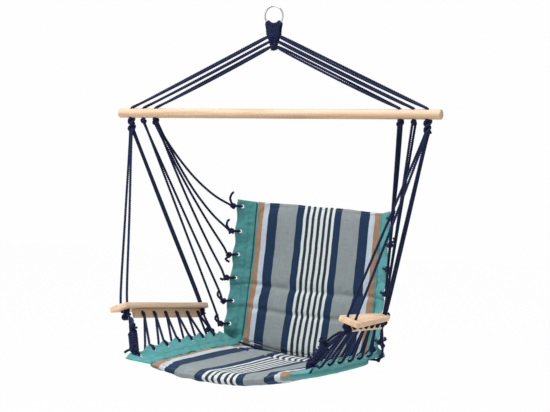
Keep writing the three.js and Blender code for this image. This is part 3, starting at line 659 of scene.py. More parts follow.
for word, side in sides:
    gather = bar_knot(side, 0) - upward * (knot_width + knot_gap)
    gathered = tie_knot(f"arm_knot_tied_{word}", gather + upward * 0.0025, (-0.2 * side, 0.2, 1),
                        0.0255, 0.0245, f"arm_{word}", start=0.7 * side)
    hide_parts(f"arm_knot_{word}")
    out_way, back_way, up_way = arm_ways(side)
    front_knots = [tie_knot(f"front_knot_{word}_{i + 1}",
                            on_arm(side, front_knot_out + out, front_hole_back, under_board - below),
                            up_way + out_way * (0.3 - 0.6 * i), 0.0240, 0.0215, f"arm_{word}",
                            start=2.0 * i + side) for i, (out, below) in enumerate(front_knot_places)]
    rear_knot = tie_knot(f"rear_knot_{word}", rear_knot_centre(side), up_way + out_way * 0.2, 0.0235, 0.021,
                         f"arm_{word}", start=side)
    strands = [("front_1", -1, -1, front_hole_outs[0], front_hole_back, [front_knots[0]]),
               ("front_2", 1, -1, front_hole_outs[1], front_hole_back, [front_knots[1]]),
               ("rear_1", -1, 1, rear_hole_out - pair_offset, rear_hole_back, [rear_knot]),
               ("rear_2", 1, 1, rear_hole_out + pair_offset, rear_hole_back, [])]
    for strand, across, behind, out, back, knots in strands:
        start = gather + Vector((side * across, behind, 0)) * pair_offset
        above = on_arm(side, out, back, 0.006)
        line = follow([start, start.lerp(above, 0.06) - Vector((side * across * pair_offset * 0.3, 0, 0)),
                       start.lerp(above, 0.5) - upward * 0.0015, start.lerp(above, 0.97),
                       on_arm(side, out, back, -0.002), on_arm(side, out, back, -board_thick),
                       on_arm(side, out, back, under_board - 0.006)])
        rope = lay_rope(f"arm_rope_{word}_{strand}", line)
        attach(rope, f"arm_{word}")
        free_rope(rope, f"arm_{strand[:-2]}_ropes_{word}")

# The seat. Thin wadding between two layers of striped cotton, sewn shut round its edges and through
# once, 95 mm ahead of the crease, so that it swells on both sides of that channel and puckers there.
pad_half, crease_back, crease_drop = 0.204, 0.193, 1.004
seat_depth, seat_thick, seat_edge = 0.520, 0.024, 0.008
band_wide = 0.068
pad_shoulder, pad_inset = 0.045, 0.005
seat_channel = 0.095


def seat_middle(across, forward):
    side = math.copysign(1, across)
    inner = max(-pad_half, min(pad_half, across))
    outer = abs(across - inner)
    ahead = forward / seat_depth
    curve = (inner / pad_half) ** 2
    angle = math.radians(40 - 7 * ahead - 18 * ahead ** 8)
    lean = 0.011 * (inner / pad_half) * (1 - ahead)
    pull = 0.022 * (outer / band_wide) * ahead ** 4
    hitch = (0.010 if inner < 0 else -0.003) * curve * math.sin(math.pi * max(0.0, min(1.0, ahead)))
    return Vector((inner + side * outer * math.cos(angle),
                   crease_back + 0.009 * curve * (1 - ahead) - forward - pull,
                   0.016 * ahead ** 2 + (0.018 + 0.009 * ahead) * curve + outer * math.sin(angle)
                   - lean + hitch - crease_drop - seat_thick / 2))


def cloth_normal(surface, across, distance):
    """The way a sitter's side of the cloth faces: up from the seat, forward from the back."""
    nudge = 0.003
    wide = surface(across + nudge, distance) - surface(across - nudge, distance)
    far = surface(across, distance + nudge) - surface(across, distance - nudge)
    normal = wide.cross(far).normalized()
    return -normal if surface is seat_middle else normal


def woven_finish(name, stripes, fleck, thread_pitch=0.0011):
    """Plain-woven cotton. Colour lies along the cloth_place attribute's X, in metres from its middle."""
    finish, surface = shader(name, 0.95, Sheen_Weight=0.06, Sheen_Roughness=0.5, Specular_IOR_Level=0.2)
    place = node(finish, "ShaderNodeAttribute", attribute_name="cloth_place").outputs["Vector"]
    ways = node(finish, "ShaderNodeSeparateXYZ", {0: place}).outputs
    slub = cloud(finish, scaled(finish, place, (300.0, 24.0, 1.0)), 1.0, 4.0)
    weft = cloud(finish, scaled(finish, place, (26.0, 420.0, 1.0)), 1.0, 4.0)
    stray = reckon(finish, "MULTIPLY_ADD", weft, 0.0016, -0.0008)
    from_middle = reckon(finish, "ABSOLUTE", reckon(finish, "ADD", ways[0], stray))
    colour = ramp(finish, reckon(finish, "DIVIDE", from_middle, pad_half), stripes, constant=True)
    threads = reckon(finish, "ADD", slub, weft)
    worn = ramp(finish, reckon(finish, "MULTIPLY", threads, 0.5),
                [(0.3, fleck[0]), (0.5, 0.5), (0.72, fleck[1])])
    mixed = node(finish, "ShaderNodeMix", {0: 0.55, 6: colour, 7: worn}, data_type="RGBA",
                 blend_type="OVERLAY")
    join(finish, mixed.outputs[2], surface, "Base Color")
    warp, woof = [reckon(finish, "SINE", reckon(finish, "MULTIPLY", way, 2 * math.pi / thread_pitch))
                  for way in (ways[0], ways[1])]
    height = reckon(finish, "MULTIPLY_ADD", reckon(finish, "MULTIPLY", warp, woof), 0.35, threads)
    relief(finish, surface, height, 0.35, 0.0006)
    return finish


black, white, blue, grey = "28323a", "ccd2d4", "1a304c", "868e90"
pale_blue, tan, teal = "b4c1cb", "9f7b62", "559b9c"
stripe_edges_mm = [(0.0, black), (4.55, white), (13.6, black), (22.7, white), (31.8, black), (40.9, white),
                   (50, blue), (72, grey), (133, blue), (163, pale_blue), (180, tan), (199, teal)]
stripes = [(edge / 1000 / pad_half, colour) for edge, colour in stripe_edges_mm]
striped_cotton = woven_finish("striped_cotton", stripes, (0.36, 0.66))
seat_cotton = woven_finish("striped_seat_cotton", stripes[:-1], (0.36, 0.66))


def loft(pad, across, distance):
    """How thick a pad is at a place, how far that is from its rim, and how near one of its seams."""
    length, full, edge, channels = pad
    nearest = max(0.0, min(pad_half - abs(across), distance - pad_inset, length - distance))
    share = min(1.0, nearest / pad_shoulder)
    crown = edge + (full - edge) * math.sqrt(1 - (1 - share) ** 2)
    pinch = max(hill(distance - at, 0.008) for at in channels)
    return max(edge * 0.55, crown * (1 - 0.62 * pinch)), nearest, pinch


def wadded(name, surface, pad, finish, cell=0.0055):
    """A pad: its two faces, its rounded rim, and where each point lies on the flat cloth."""
    length, _, edge, _ = pad
    columns = np.linspace(-pad_half, pad_half, round(2 * pad_half / cell) + 1)
    rows = np.linspace(pad_inset, length, round((length - pad_inset) / cell) + 1)
    wide, deep = len(columns), len(rows)
    points, places, faces, held = [], [], [], []
    for face in (1, -1):
        for row in rows:
            for column in columns:
                thick, nearest, pinch = loft(pad, column, row)
                lift = face * thick / 2
                points.append(surface(column, row) + cloth_normal(surface, column, row) * lift)
                places.append((column, row, face * thick))
                held.append(nearest < 0.001 or pinch > 0.93)
    at = lambda i, j, face: (0 if face > 0 else wide * deep) + i * wide + j
    for i in range(deep - 1):
        for j in range(wide - 1):
            faces.append((at(i, j, 1), at(i, j + 1, 1), at(i + 1, j + 1, 1), at(i + 1, j, 1)))
            faces.append((at(i, j, -1), at(i + 1, j, -1), at(i + 1, j + 1, -1), at(i, j + 1, -1)))
    rim = [(0, j) for j in range(wide)] + [(i, wide - 1) for i in range(1, deep)]
    rim += [(deep - 1, j) for j in range(wide - 2, -1, -1)] + [(i, 0) for i in range(deep - 2, 0, -1)]
    first = len(points)
    for i, j in rim:
        above, below = points[at(i, j, 1)], points[at(i, j, -1)]
        away = (above + below) / 2 - surface(columns[j] * 0.98, rows[i] * 0.98 + length * 0.01)
        away = away.normalized() * edge * 0.22
        points.append((above + below) / 2 + away)
        places.append((columns[j], rows[i], 0.0))
        held.append(True)
    for k in range(len(rim)):
        here, after = rim[k], rim[(k + 1) % len(rim)]
        a, b = first + k, first + (k + 1) % len(rim)
        faces.append((at(*here, 1), at(*after, 1), b, a))
        faces.append((a, b, at(*after, -1), at(*here, -1)))
    made = piece(name, points, faces, finish)
    write_on(made.data, "cloth_place", places)
    return made, np.array(places), held


def puff(made, held, most, slack):
    """Swells a pad as its wadding does: pressed from inside and held at its seams, moved a little."""
    before = np.array([v.co for v in made.data.vertices])
    group = made.vertex_groups.new(name="seams")
    group.add([i for i, pinned in enumerate(held) if pinned], 1.0, "REPLACE")
    fabric = made.modifiers.new("wadding", "CLOTH")
    nature = dict(quality=6, mass=0.15, vertex_group_mass="seams", pin_stiffness=1, shrink_min=-slack,
                  tension_stiffness=25, compression_stiffness=25, bending_stiffness=0.4,
                  use_pressure=True, uniform_pressure_force=3)
    for word, value in nature.items():
        setattr(fabric.settings, word, value)
    fabric.settings.effector_weights.gravity = 0
    fabric.collision_settings.use_collision = False
    fabric.point_cache.frame_start, fabric.point_cache.frame_end = 1, 20
    for frame_number in range(1, 21):
        bpy.context.scene.frame_set(frame_number)
    swollen = worked_in(made)
    after = np.array([v.co for v in swollen.vertices])
    bpy.data.meshes.remove(swollen)
    made.modifiers.clear()
    made.vertex_groups.clear()
    move = after - before
    size = np.maximum(np.linalg.norm(move, axis=1), 1e-9)
    move *= (most * np.tanh(size / most) / size)[:, None]
    made.data.vertices.foreach_set("co", (before + move).ravel())
    bpy.context.scene.frame_set(1)


def wrinkle(made, surface, places, folds, drift):
    """Presses in the small folds of used cloth, and draws it aside a little where it is gathered."""
    made.data.update()
    moved = []
    for vertex, (across, distance, lift) in zip(made.data.vertices, places):
        deep = folds(across, distance, 1 if lift >= 0 else -1)
        inward = 1 - (across / pad_half) ** 6
        aside = surface(across + drift(across, distance) * inward, distance) - surface(across, distance)
        moved.append(vertex.co + vertex.normal * deep + aside)
    made.data.vertices.foreach_set("co", [c for p in moved for c in p])


def finer(made):
    smoother = made.modifiers.new("finer", "SUBSURF")
    smoother.levels = smoother.render_levels = 1
    settle(made)
    made.data.polygons.foreach_set("use_smooth", [True] * len(made.data.polygons))


def seat_folds(across, forward, face):
    near = hill(forward - seat_channel, 0.026)
    pucker = 0.0021 * near * ripple(across * 95, forward * 22, face * 3.1)
    front = hill(seat_depth - forward, 0.05)
    hem = 0.0032 * front * ripple(across * 38, forward * 12, 5 + face)
    soft = 0.0028 * ripple(across * 9, forward * 7, 9 + face)
    side = hill(pad_half - abs(across), 0.03)
    edge = 0.0013 * side * ripple(across * 15, forward * 75, 2 + face)
    return pucker + hem + soft + edge


def seat_drift(across, forward):
    near = hill(forward - seat_channel, 0.04)
    front = hill(seat_depth - forward, 0.09)
    return (0.0050 * near + 0.0026 * front + 0.0012) * ripple(across * 7, forward * 34, 12.5)


seat_wadding = (seat_depth, seat_thick * 0.92, seat_edge, [seat_channel])
seat_pad, seat_places, seat_held = wadded("seat_pad_sewn", seat_middle, seat_wadding, seat_cotton)
puff(seat_pad, seat_held, 0.005, 0.03)
wrinkle(seat_pad, seat_middle, seat_places, seat_folds, seat_drift)
finer(seat_pad)
ride_on(seat_pad, "chair", "cushion_cloth", "seat_pad")

# The seat's side bands. One layer of plain teal cotton on each side, its free edge turned over in a
# wide hem, with seven crimped steel eyelets through the hem that the lacing draws outward.
eyelet_in, eyelet_hole = 0.019, 0.0105
eyelet_across = pad_half + band_wide - eyelet_in
seat_pitch, back_pitch = 0.066, 0.074
seat_eyelets = [0.494 - seat_pitch * i for i in range(7)]
seat_slant = 0.042
band_tuck, band_start, band_scallop, hem_wide = 0.026, 0.0058, 0.007, 0.036

teal_cotton = woven_finish("teal_cotton", [(0.0, teal), (0.999, teal)], (0.40, 0.60))


def between_eyelets(place, eyelets, pitch):
    """Nothing beside an eyelet and one midway to the next, as the wavy rim of a band is drawn in."""
    return (1 - math.cos((place - eyelets[0]) / pitch * 2 * math.pi)) / 2


def side_band(name, surface, side, pad, slant, eyelets, pitch, folds, corner, cell=0.0026):
    """A band of cloth, 1.2 mm thick, from under the pad's edge out to its hem with the eyelet holes."""
    length = pad[0]
    tucked = (-band_tuck, -0.018, -0.010, -0.003)
    round_rim = ((0.0016, -0.0046), (0.0032, -0.0022), (0.0040, 0.0004))
    first = len(tucked) + len(round_rim)
    wide, deep = round(band_wide / cell) + first, round(length / cell)
    points, places, keep = [], [], []
    for i in range(deep + 1):
        v = i / deep
        under = pad_inset * (1 - v) + length * v
        rim = surface(side * pad_half, under)
        rim_out = (rim - surface(side * (pad_half - 0.003), under)).normalized()
        rim_normal = cloth_normal(surface, side * (pad_half - 0.003), under)
        for inward in tucked:
            at = side * (pad_half + inward)
            below_pad = loft(pad, at, under)[0] / 2 + 0.0016
            points.append(surface(at, under) - cloth_normal(surface, at, under) * below_pad)
            places.append((inward - 0.1, under, 0))
            keep.append(1.0)
        for outward, up in round_rim:
            points.append(rim + rim_out * outward + rim_normal * up)
            places.append((outward - 0.1, under, 0))
            keep.append(1.0)
        for j in range(wide - first + 1):
            u = j / (wide - first)
            place = (pad_inset + slant * u) * (1 - v) + length * v
            wave = between_eyelets(place, eyelets, pitch)
            drawn = 0.013 * hill(place, 0.022) if slant == 0 else 0
            out = band_start + u * (band_wide - band_start - band_scallop * wave + corner * v ** 10 - drawn)
            across = pad_half + out
            normal = cloth_normal(surface, side * across, place)
            nearest = min(math.hypot(across - eyelet_across, place - e) for e in eyelets)
            deep_fold = folds(out, place) + 0.0028 * hill(out, 0.012)
            flat = (1 - hill(nearest, 0.012)) * min(1, out / 0.01 + 0.4)
            points.append(surface(side * across, place) + normal * deep_fold * flat)
            places.append((out - 0.1, place, 0))
            keep.append(nearest)
    faces = []
    for i in range(deep):
        for j in range(wide):
            a, b = i * (wide + 1) + j, (i + 1) * (wide + 1) + j
            corners = [a, a + 1, b + 1, b]
            if sum(keep[c] for c in corners) / 4 > eyelet_hole / 2 + 0.0014:
                faces.append(corners)
    made = piece(name, points, faces, teal_cotton)
    if made.data.polygons[0].normal.dot(cloth_normal(surface, side * (pad_half + 0.01), 0.02)) < 0:
        made.data.flip_normals()
    write_on(made.data, "cloth_place", places)
    thick = made.vertex_groups.new(name="hem")
    for i, (shifted_out, place, _) in enumerate(places):
        out = shifted_out + 0.1
        ends = min(place - pad_inset - slant * max(0, out) / band_wide, length - place)
        folded = 1.0 if (out > band_wide - band_scallop - hem_wide or 0 < out and ends < 0.012) else 0.45
        thick.add([i], folded, "REPLACE")
    body = made.modifiers.new("thickness", "SOLIDIFY")
    body.thickness, body.offset = 0.0026, 0
    body.vertex_group, body.thickness_vertex_group = "hem", 0.0
    body.use_even_offset = False
    mesh = worked_in(made)
    made.modifiers.clear()
    made.vertex_groups.clear()
    made.data = mesh
    return made


# The eyelet tree turns a rolled steel section round each point of its guide, along that point's normal.
eyeleting, given = new_tree("crimped_eyelets", "Places", {"Hole radius": eyelet_hole / 2,
                                                          "Flange width": 0.0034, "Roll height": 0.0026})
half_flange = reckon(eyeleting, "MULTIPLY", given["Flange width"], 0.5)
half_roll = reckon(eyeleting, "MULTIPLY", given["Roll height"], 0.5)
hoop_radius = reckon(eyeleting, "ADD", given["Hole radius"], half_flange)
hoop = node(eyeleting, "GeometryNodeCurvePrimitiveCircle", {"Resolution": 32, "Radius": hoop_radius})
roll = node(eyeleting, "GeometryNodeCurvePrimitiveCircle", {"Resolution": 12, "Radius": 1})
flatness = node(eyeleting, "ShaderNodeCombineXYZ", {0: half_flange, 1: half_roll, 2: 1})
rolled = node(eyeleting, "GeometryNodeTransform", {"Geometry": roll.outputs[0], "Scale": flatness.outputs[0]})
turned = node(eyeleting, "GeometryNodeCurveToMesh",
              {"Curve": hoop.outputs[0], "Profile Curve": rolled.outputs[0]})
facing = node(eyeleting, "GeometryNodeInputNamedAttribute", {"Name": "facing"}, data_type="FLOAT_VECTOR")
faced = node(eyeleting, "FunctionNodeAlignEulerToVector", {"Vector": facing.outputs[0]}, axis="Z")
pressed_in = node(eyeleting, "GeometryNodeInstanceOnPoints",
                  {"Points": given["Places"], "Instance": turned.outputs[0], "Rotation": faced.outputs[0]})
hand_out(eyeleting, pressed_in.outputs[0], given["Finish"])


# The stitch tree sets one short sunk stitch after another along a seam.
stitching, given = new_tree("thread_stitches", "Seam", {"Stitch pitch": 0.0046, "Stitch length": 0.0036,
                                                        "Thread width": 0.0010})
seam_curve = node(stitching, "GeometryNodeMeshToCurve", {0: given["Seam"]})
needle_holes = node(stitching, "GeometryNodeCurveToPoints",
                    {"Curve": seam_curve.outputs[0], "Length": given["Stitch pitch"]}, mode="LENGTH").outputs
thread = node(stitching, "GeometryNodeMeshUVSphere", {"Segments": 7, "Rings": 5, "Radius": 0.5})
drawn_out = node(stitching, "ShaderNodeCombineXYZ",
                 {0: given["Thread width"], 1: given["Thread width"], 2: given["Stitch length"]})
lie_along = node(stitching, "FunctionNodeAlignEulerToVector", {"Vector": needle_holes["Tangent"]}, axis="Z")
stitches = node(stitching, "GeometryNodeInstanceOnPoints",
                {"Points": needle_holes["Points"], "Instance": thread.outputs[0],
                 "Rotation": lie_along.outputs[0], "Scale": drawn_out.outputs[0]})
hand_out(stitching, stitches.outputs[0], given["Finish"])


def thread_finish(name, dark, pale):
    finish, surface = shader(name, 0.8)
    ply = cloud(finish, node(finish, "ShaderNodeTexCoord").outputs["Object"], 1800.0, 2.0)
    join(finish, ramp(finish, ply, [(0.3, dark), (0.7, pale)]), surface, "Base Color")
    return finish


teal_thread = thread_finish("teal_thread", "3f7d7b", "6bb0ad")
grey_thread = thread_finish("grey_thread", "4a5257", "7b8488")


def sew(name, cloth, surface, rows, finish, lift=0.02):
    """Rows of stitches on a cloth. Each place on a row drops on to the cloth from above its face."""
    points, edges = [], []
    for row, face in rows:
        first = len(points)
        for across, distance in row:
            facing = cloth_normal(surface, across, distance) * face
            above = surface(across, distance) + facing * lift
            found, spot, _, _ = cloth.ray_cast(above, -facing)
            if not found:
                spot = cloth.closest_point_on_mesh(above)[1]
            points.append(tuple(spot + facing * 0.0002))
        edges += [(i, i + 1) for i in range(first, len(points) - 1)]
    guide = bpy.data.meshes.new(name + "_seam")
    guide.from_pydata(points, edges, [])
    return made_by(stitching, name, guide, finish)


def between(start, end, pitch=0.006):
    """Places in a straight row on the flat cloth."""
    count = max(2, round(math.dist(start, end) / pitch))
    return [(start[0] + (end[0] - start[0]) * i / count, start[1] + (end[1] - start[1]) * i / count)
            for i in range(count + 1)]


def edge_rows(length, face, inset=0.0065):
    """The row of stitches that runs round a pad just inside its rim."""
    side, near, far = pad_half - inset, pad_inset + inset, length - inset
    corners = [(-side, near), (side, near), (side, far), (-side, far), (-side, near)]
    return [(between(a, b), face) for a, b in zip(corners, corners[1:])]


def band_rows(side, length, slant, eyelets, pitch):
    """The three rows of stitches on a band: two hold its wide hem, and one follows its wavy rim."""
    rows = []
    for out in (0.012, band_wide - 0.040):
        near = pad_inset + 0.006 + slant * out / band_wide
        far = length - 0.006
        rows.append([(side * (pad_half + out), near + (far - near) * i / 90) for i in range(91)])
    rim, near, far = [], pad_inset + slant + 0.004, length - 0.004
    for i in range(121):
        place = near + (far - near) * i / 120
        wave = between_eyelets(place, eyelets, pitch)
        rim.append((side * (pad_half + band_wide - 0.0045 - band_scallop * wave), place))
    return [(row, 1) for row in rows + [rim]]


def set_eyelets(name, surface, side, places):
    guide = bpy.data.meshes.new(name + "_places")
    guide.from_pydata([tuple(surface(side * eyelet_across, e)) for e in places], [], [])
    write_on(guide, "facing", [cloth_normal(surface, side * eyelet_across, e) for e in places])
    return made_by(eyeleting, name, guide, plated_steel)


def seat_band_folds(out, forward):
    draw = 0.0030 * math.cos((forward - seat_eyelets[0]) / seat_pitch * 2 * math.pi) * min(1, out / band_wide)
    small = 0.0046 * ripple(out * 20, forward * 34, 3.7)
    fine = 0.0020 * ripple(out * 60, forward * 90, 1.2)
    return draw + small + fine


for word, side in sides:
    band = side_band(f"seat_band_hemmed_{word}", seat_middle, side, seat_wadding, seat_slant, seat_eyelets,
                     seat_pitch, seat_band_folds, 0.009)
    ride_on(band, "chair", "band_cloth", f"seat_band_{word}")
    eyelets = set_eyelets(f"seat_eyelets_{word}", seat_middle, side, seat_eyelets)
    ride_on(eyelets, "chair", "steel")
    hem_seams = sew(f"seat_band_stitches_{word}", band, seat_middle,
                    band_rows(side, seat_depth, seat_slant, seat_eyelets, seat_pitch), teal_thread, 0.010)
    ride_on(hem_seams, "chair", "band_cloth")

channel_row = between((0.006 - pad_half, seat_channel), (pad_half - 0.006, seat_channel))
seat_seams = sew("seat_pad_stitches", seat_pad, seat_middle,
                 edge_rows(seat_depth, 1) + edge_rows(seat_depth, -1) + [(channel_row, 1), (channel_row, -1)],
                 grey_thread)
ride_on(seat_seams, "chair", "cushion_cloth")

# The seat's ties. At each front corner a rope from the armrest's knots runs down, through the first
# eyelet, up and down again, and is knotted off. Behind it one cord laces the rail to six eyelets.


def eyelet_frame(surface, side, place):
    centre = surface(side * eyelet_across, place)
    outward = (surface(side * (eyelet_across + 0.003), place) - centre).normalized()
    return centre, outward, cloth_normal(surface, side * eyelet_across, place)


def hairpin(surface, side, place, apart=0.0052, astray=0.0):
    """The way a rope turns through an eyelet: in over the sitter's side, out behind the cloth."""
    centre, outward, normal = eyelet_frame(surface, side, place)
    along = (surface(side * eyelet_across, place + 0.003) - centre).normalized()
    steps = [(0.0197, apart, 0), (0.0110, 0.0062, 0), (0.0056, 0.0058, 0), (0.0024, 0.0030, 0),
             (0.0017, 0, 0), (0.0024, -0.0030, 0), (0.0056, -0.0060, 0.3), (0.0110, -0.0068, 0.6),
             (0.0197, -apart, 1)]
    return [centre + outward * out + normal * off + along * astray * part for out, off, part in steps]


for word, side in sides:
    centre, outward, normal = eyelet_frame(seat_middle, side, seat_eyelets[0])
    high = front_knot_centre(side)
    low = centre + outward * 0.017 + upward * 0.0125
    down = (low - high).normalized()
    aside = down.cross(Vector((0, 1, 0))).normalized()
    fore = aside.cross(down)
    bundle = lambda share: high.lerp(low, share) - aside * side * 0.008 * math.sin(math.pi * share ** 0.8)
    strands_down = [high + aside * 0.004, bundle(0.3) + aside * 0.0045 + fore * 0.002,
                    bundle(0.7) - aside * 0.0015 + fore * 0.0052, low + fore * 0.0035 + aside * 0.002]
    strands_up = [low - fore * 0.0045, bundle(0.68) - aside * 0.0042 - fore * 0.003,
                  bundle(0.32) - aside * 0.0045 + fore * 0.0035, bundle(0.14) + fore * 0.0068]
    tail = [bundle(0.25) + aside * 0.0075 + fore * 0.004, bundle(0.5) + aside * 0.0075 - fore * 0.004,
            bundle(0.8) + aside * 0.0055 - fore * 0.0055, low + aside * 0.010,
            low + aside * 0.013 * side + Vector((side * 0.008, -0.004, 0.004)),
            low + aside * 0.013 * side + Vector((side * 0.017, -0.006, -0.002))]
    through_eyelet = hairpin(seat_middle, side, seat_eyelets[0])[1:-1]
    line = follow(strands_down + through_eyelet + strands_up + tail)
    rope = lay_rope(f"corner_rope_{word}", line)
    tied = tie_knot(f"corner_knot_{word}", low, down, 0.0285, 0.025, "chair", start=side)
    half_hitch = tie_knot(f"corner_hitch_{word}", bundle(0.54) - fore * 0.007 - aside * side * 0.012, down,
                          0.0255, 0.0205, "chair", start=2 + side, strand=0.0065)
    serving = coil(144, 6.5, lambda turn, share: bundle(0.58 + 0.40 * share)
                   + aside * math.cos(turn) * 0.0112 + fore * math.sin(turn) * 0.0096)
    whipping = coil(80, 2.6, lambda turn, share: low.lerp(centre + outward * 0.0085, share)
                    + normal * math.cos(turn) * 0.0106 + outward.cross(normal) * math.sin(turn) * 0.0082)
    wraps = lay_rope(f"corner_wraps_{word}", [serving, whipping], rope_radius=0.0033, step=0.0016)
    ride_on(wraps, "chair", "rope")
    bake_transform(rope)
    free_rope(rope, f"corner_tie_{word}")

    out_way, back_way, up_way = arm_ways(side)
    line = []
    for i, back in enumerate(rail_holes):
        hole = on_arm(side, rail_middle, back, rail_hole_up)
        beside = lambda out, below, along=0: hole + out_way * out - up_way * below + back_way * along
        line += [beside(0.0092, -0.0070, -0.0075), beside(0.0098, -0.0030, -0.0010), beside(0.005, -0.0010),
                 beside(-0.005, -0.0018), beside(-0.0098, 0.0020), beside(-0.0106, 0.011)]
        line += hairpin(seat_middle, side, seat_eyelets[i + 1], 0.0072, 0.011)
        line += [beside(-0.0092, 0.0160), beside(-0.0084, 0.0070), beside(-0.005, 0.0026),
                 beside(0.005, 0.0032), beside(0.0098, 0.0030, 0.0010), beside(0.0092, -0.0070, 0.0075)]
    line = follow(taut(line))
    lacing = lay_rope(f"lacing_cord_{word}", line)
    first_knot = tie_knot(f"lacing_first_knot_{word}", line[0], out_way, 0.019, 0.015, f"arm_{word}")
    last_knot = tie_knot(f"lacing_last_knot_{word}", line[-1], -up_way, 0.019, 0.015, f"arm_{word}")
    last_eye, last_out, last_normal = eyelet_frame(seat_middle, side, seat_eyelets[6])
    gathered = tie_knot(f"lacing_hitch_{word}", last_eye + last_out * 0.026 + last_normal * 0.003, last_out,
                        0.0215, 0.0195, "chair", start=side)
    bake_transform(lacing)
    free_rope(lacing, f"seat_lacing_{word}")

# The back. The same striped cotton and wadding, thinner, hung on its ropes. It is sewn shut round
# its edges and has two flat creases from being folded, 112 and 186 mm above the seat.
back_height, back_thick, back_edge = 0.446, 0.014, 0.007
back_recline = math.radians(16.5)
back_creases = (0.112, 0.186)


def back_middle(across, up):
    side = math.copysign(1, across)
    inner = max(-pad_half, min(pad_half, across))
    outer = abs(across - inner)
    height = up / back_height
    curve = (inner / pad_half) ** 2
    share = max(0.0, min(1.0, up / 0.044))
    angle = math.radians(4 + 44 * share * share * (3 - 2 * share))
    side_back = (0.009 + (-0.015 - 0.009) * height) * curve
    return Vector((inner + side * outer * math.cos(angle),
                   crease_back + back_thick / 2 + up * math.sin(back_recline)
                   + 0.008 * math.sin(height * math.pi) + side_back - outer * math.sin(angle),
                   up * math.cos(back_recline) + 0.018 * curve * (1 - height) ** 2
                   + 0.010 * (outer / band_wide) * max(0.0, height) ** 20 - 0.011 * (inner / pad_half)
                   - crease_drop))


def back_folds(across, up, face):
    crease = 0.0
    for at, deep in zip(back_creases, (0.0022, 0.0011)):
        wander = at + 0.003 * ripple(across * 14, at * 50, 0)
        crease -= deep * hill(up - wander, 0.0045)
        near = hill(up - at, 0.02)
        crease += 0.0009 * near * ripple(across * 80, up * 20, face * 2.2)
    soft = 0.0022 * ripple(across * 8, up * 9, 4 + face)
    top = hill(back_height - up, 0.022)
    hem = 0.0016 * top * ripple(across * 45, up * 12, 7 + face)
    side = hill(pad_half - abs(across), 0.022)
    edge = 0.0014 * side * ripple(across * 20, up * 60, 1 + face)
    return crease + soft + hem + edge


def back_drift(across, up):
    near = sum(hill(up - at, 0.02) for at in back_creases)
    return (0.0026 * near + 0.0012) * ripple(across * 6, up * 30, 17.5)


back_wadding = (back_height, back_thick * 0.92, back_edge, back_creases)
back_pad, back_places, back_held = wadded("back_pad_sewn", back_middle, back_wadding, striped_cotton)
puff(back_pad, back_held, 0.003, 0.02)
wrinkle(back_pad, back_middle, back_places, back_folds, back_drift)
finer(back_pad)
ride_on(back_pad, "back", "cushion_cloth", "back_pad")

back_seams = sew("back_pad_stitches", back_pad, back_middle,
                 edge_rows(back_height, 1) + edge_rows(back_height, -1), grey_thread)
ride_on(back_seams, "back", "cushion_cloth")

# The back's side bands and ropes. The bands are hemmed like the seat's, with six eyelets each. From
# every eyelet one rope rises to a bar knot: four to the innermost, two to the middle one. Each is
# looped through its eyelet, knotted on itself just past the cloth's edge, and left with a tail.
back_eyelets = [0.430 - back_pitch * i for i in range(6)]
back_rope_starts = [(2, 1, 1), (2, -1, 1), (2, 1, -1), (2, -1, -1), (1, 1, 1), (1, -1, -1)]
back_rope_sags = [0.0399, 0.042, 0.01806, 0.02184, 0, 0]
tied_out, right_tail_share = 0.029, 0.62
back_tails = [((-0.2, -0.1, 0.9), 0.042), ((0.15, 0.1, 0.95), 0.036), ((-0.1, 0.2, -0.9), 0.024),
              ((0.6, 0.3, -0.5), 0.022), ((0.5, 0.2, 0.85), 0.034), ((0.45, 0.3, 0.85), 0.030)]


def back_band_folds(out, up):
    draw = 0.0032 * math.cos((up - back_eyelets[0]) / back_pitch * 2 * math.pi) * min(1, out / band_wide)
    small = 0.0032 * ripple(out * 20, up * 34, 8.7)
    small += 0.0013 * ripple(out * 60, up * 90, 5.1)
    crease = sum(-0.0016 * hill(up - at, 0.004) for at in back_creases)
    return draw + small + crease


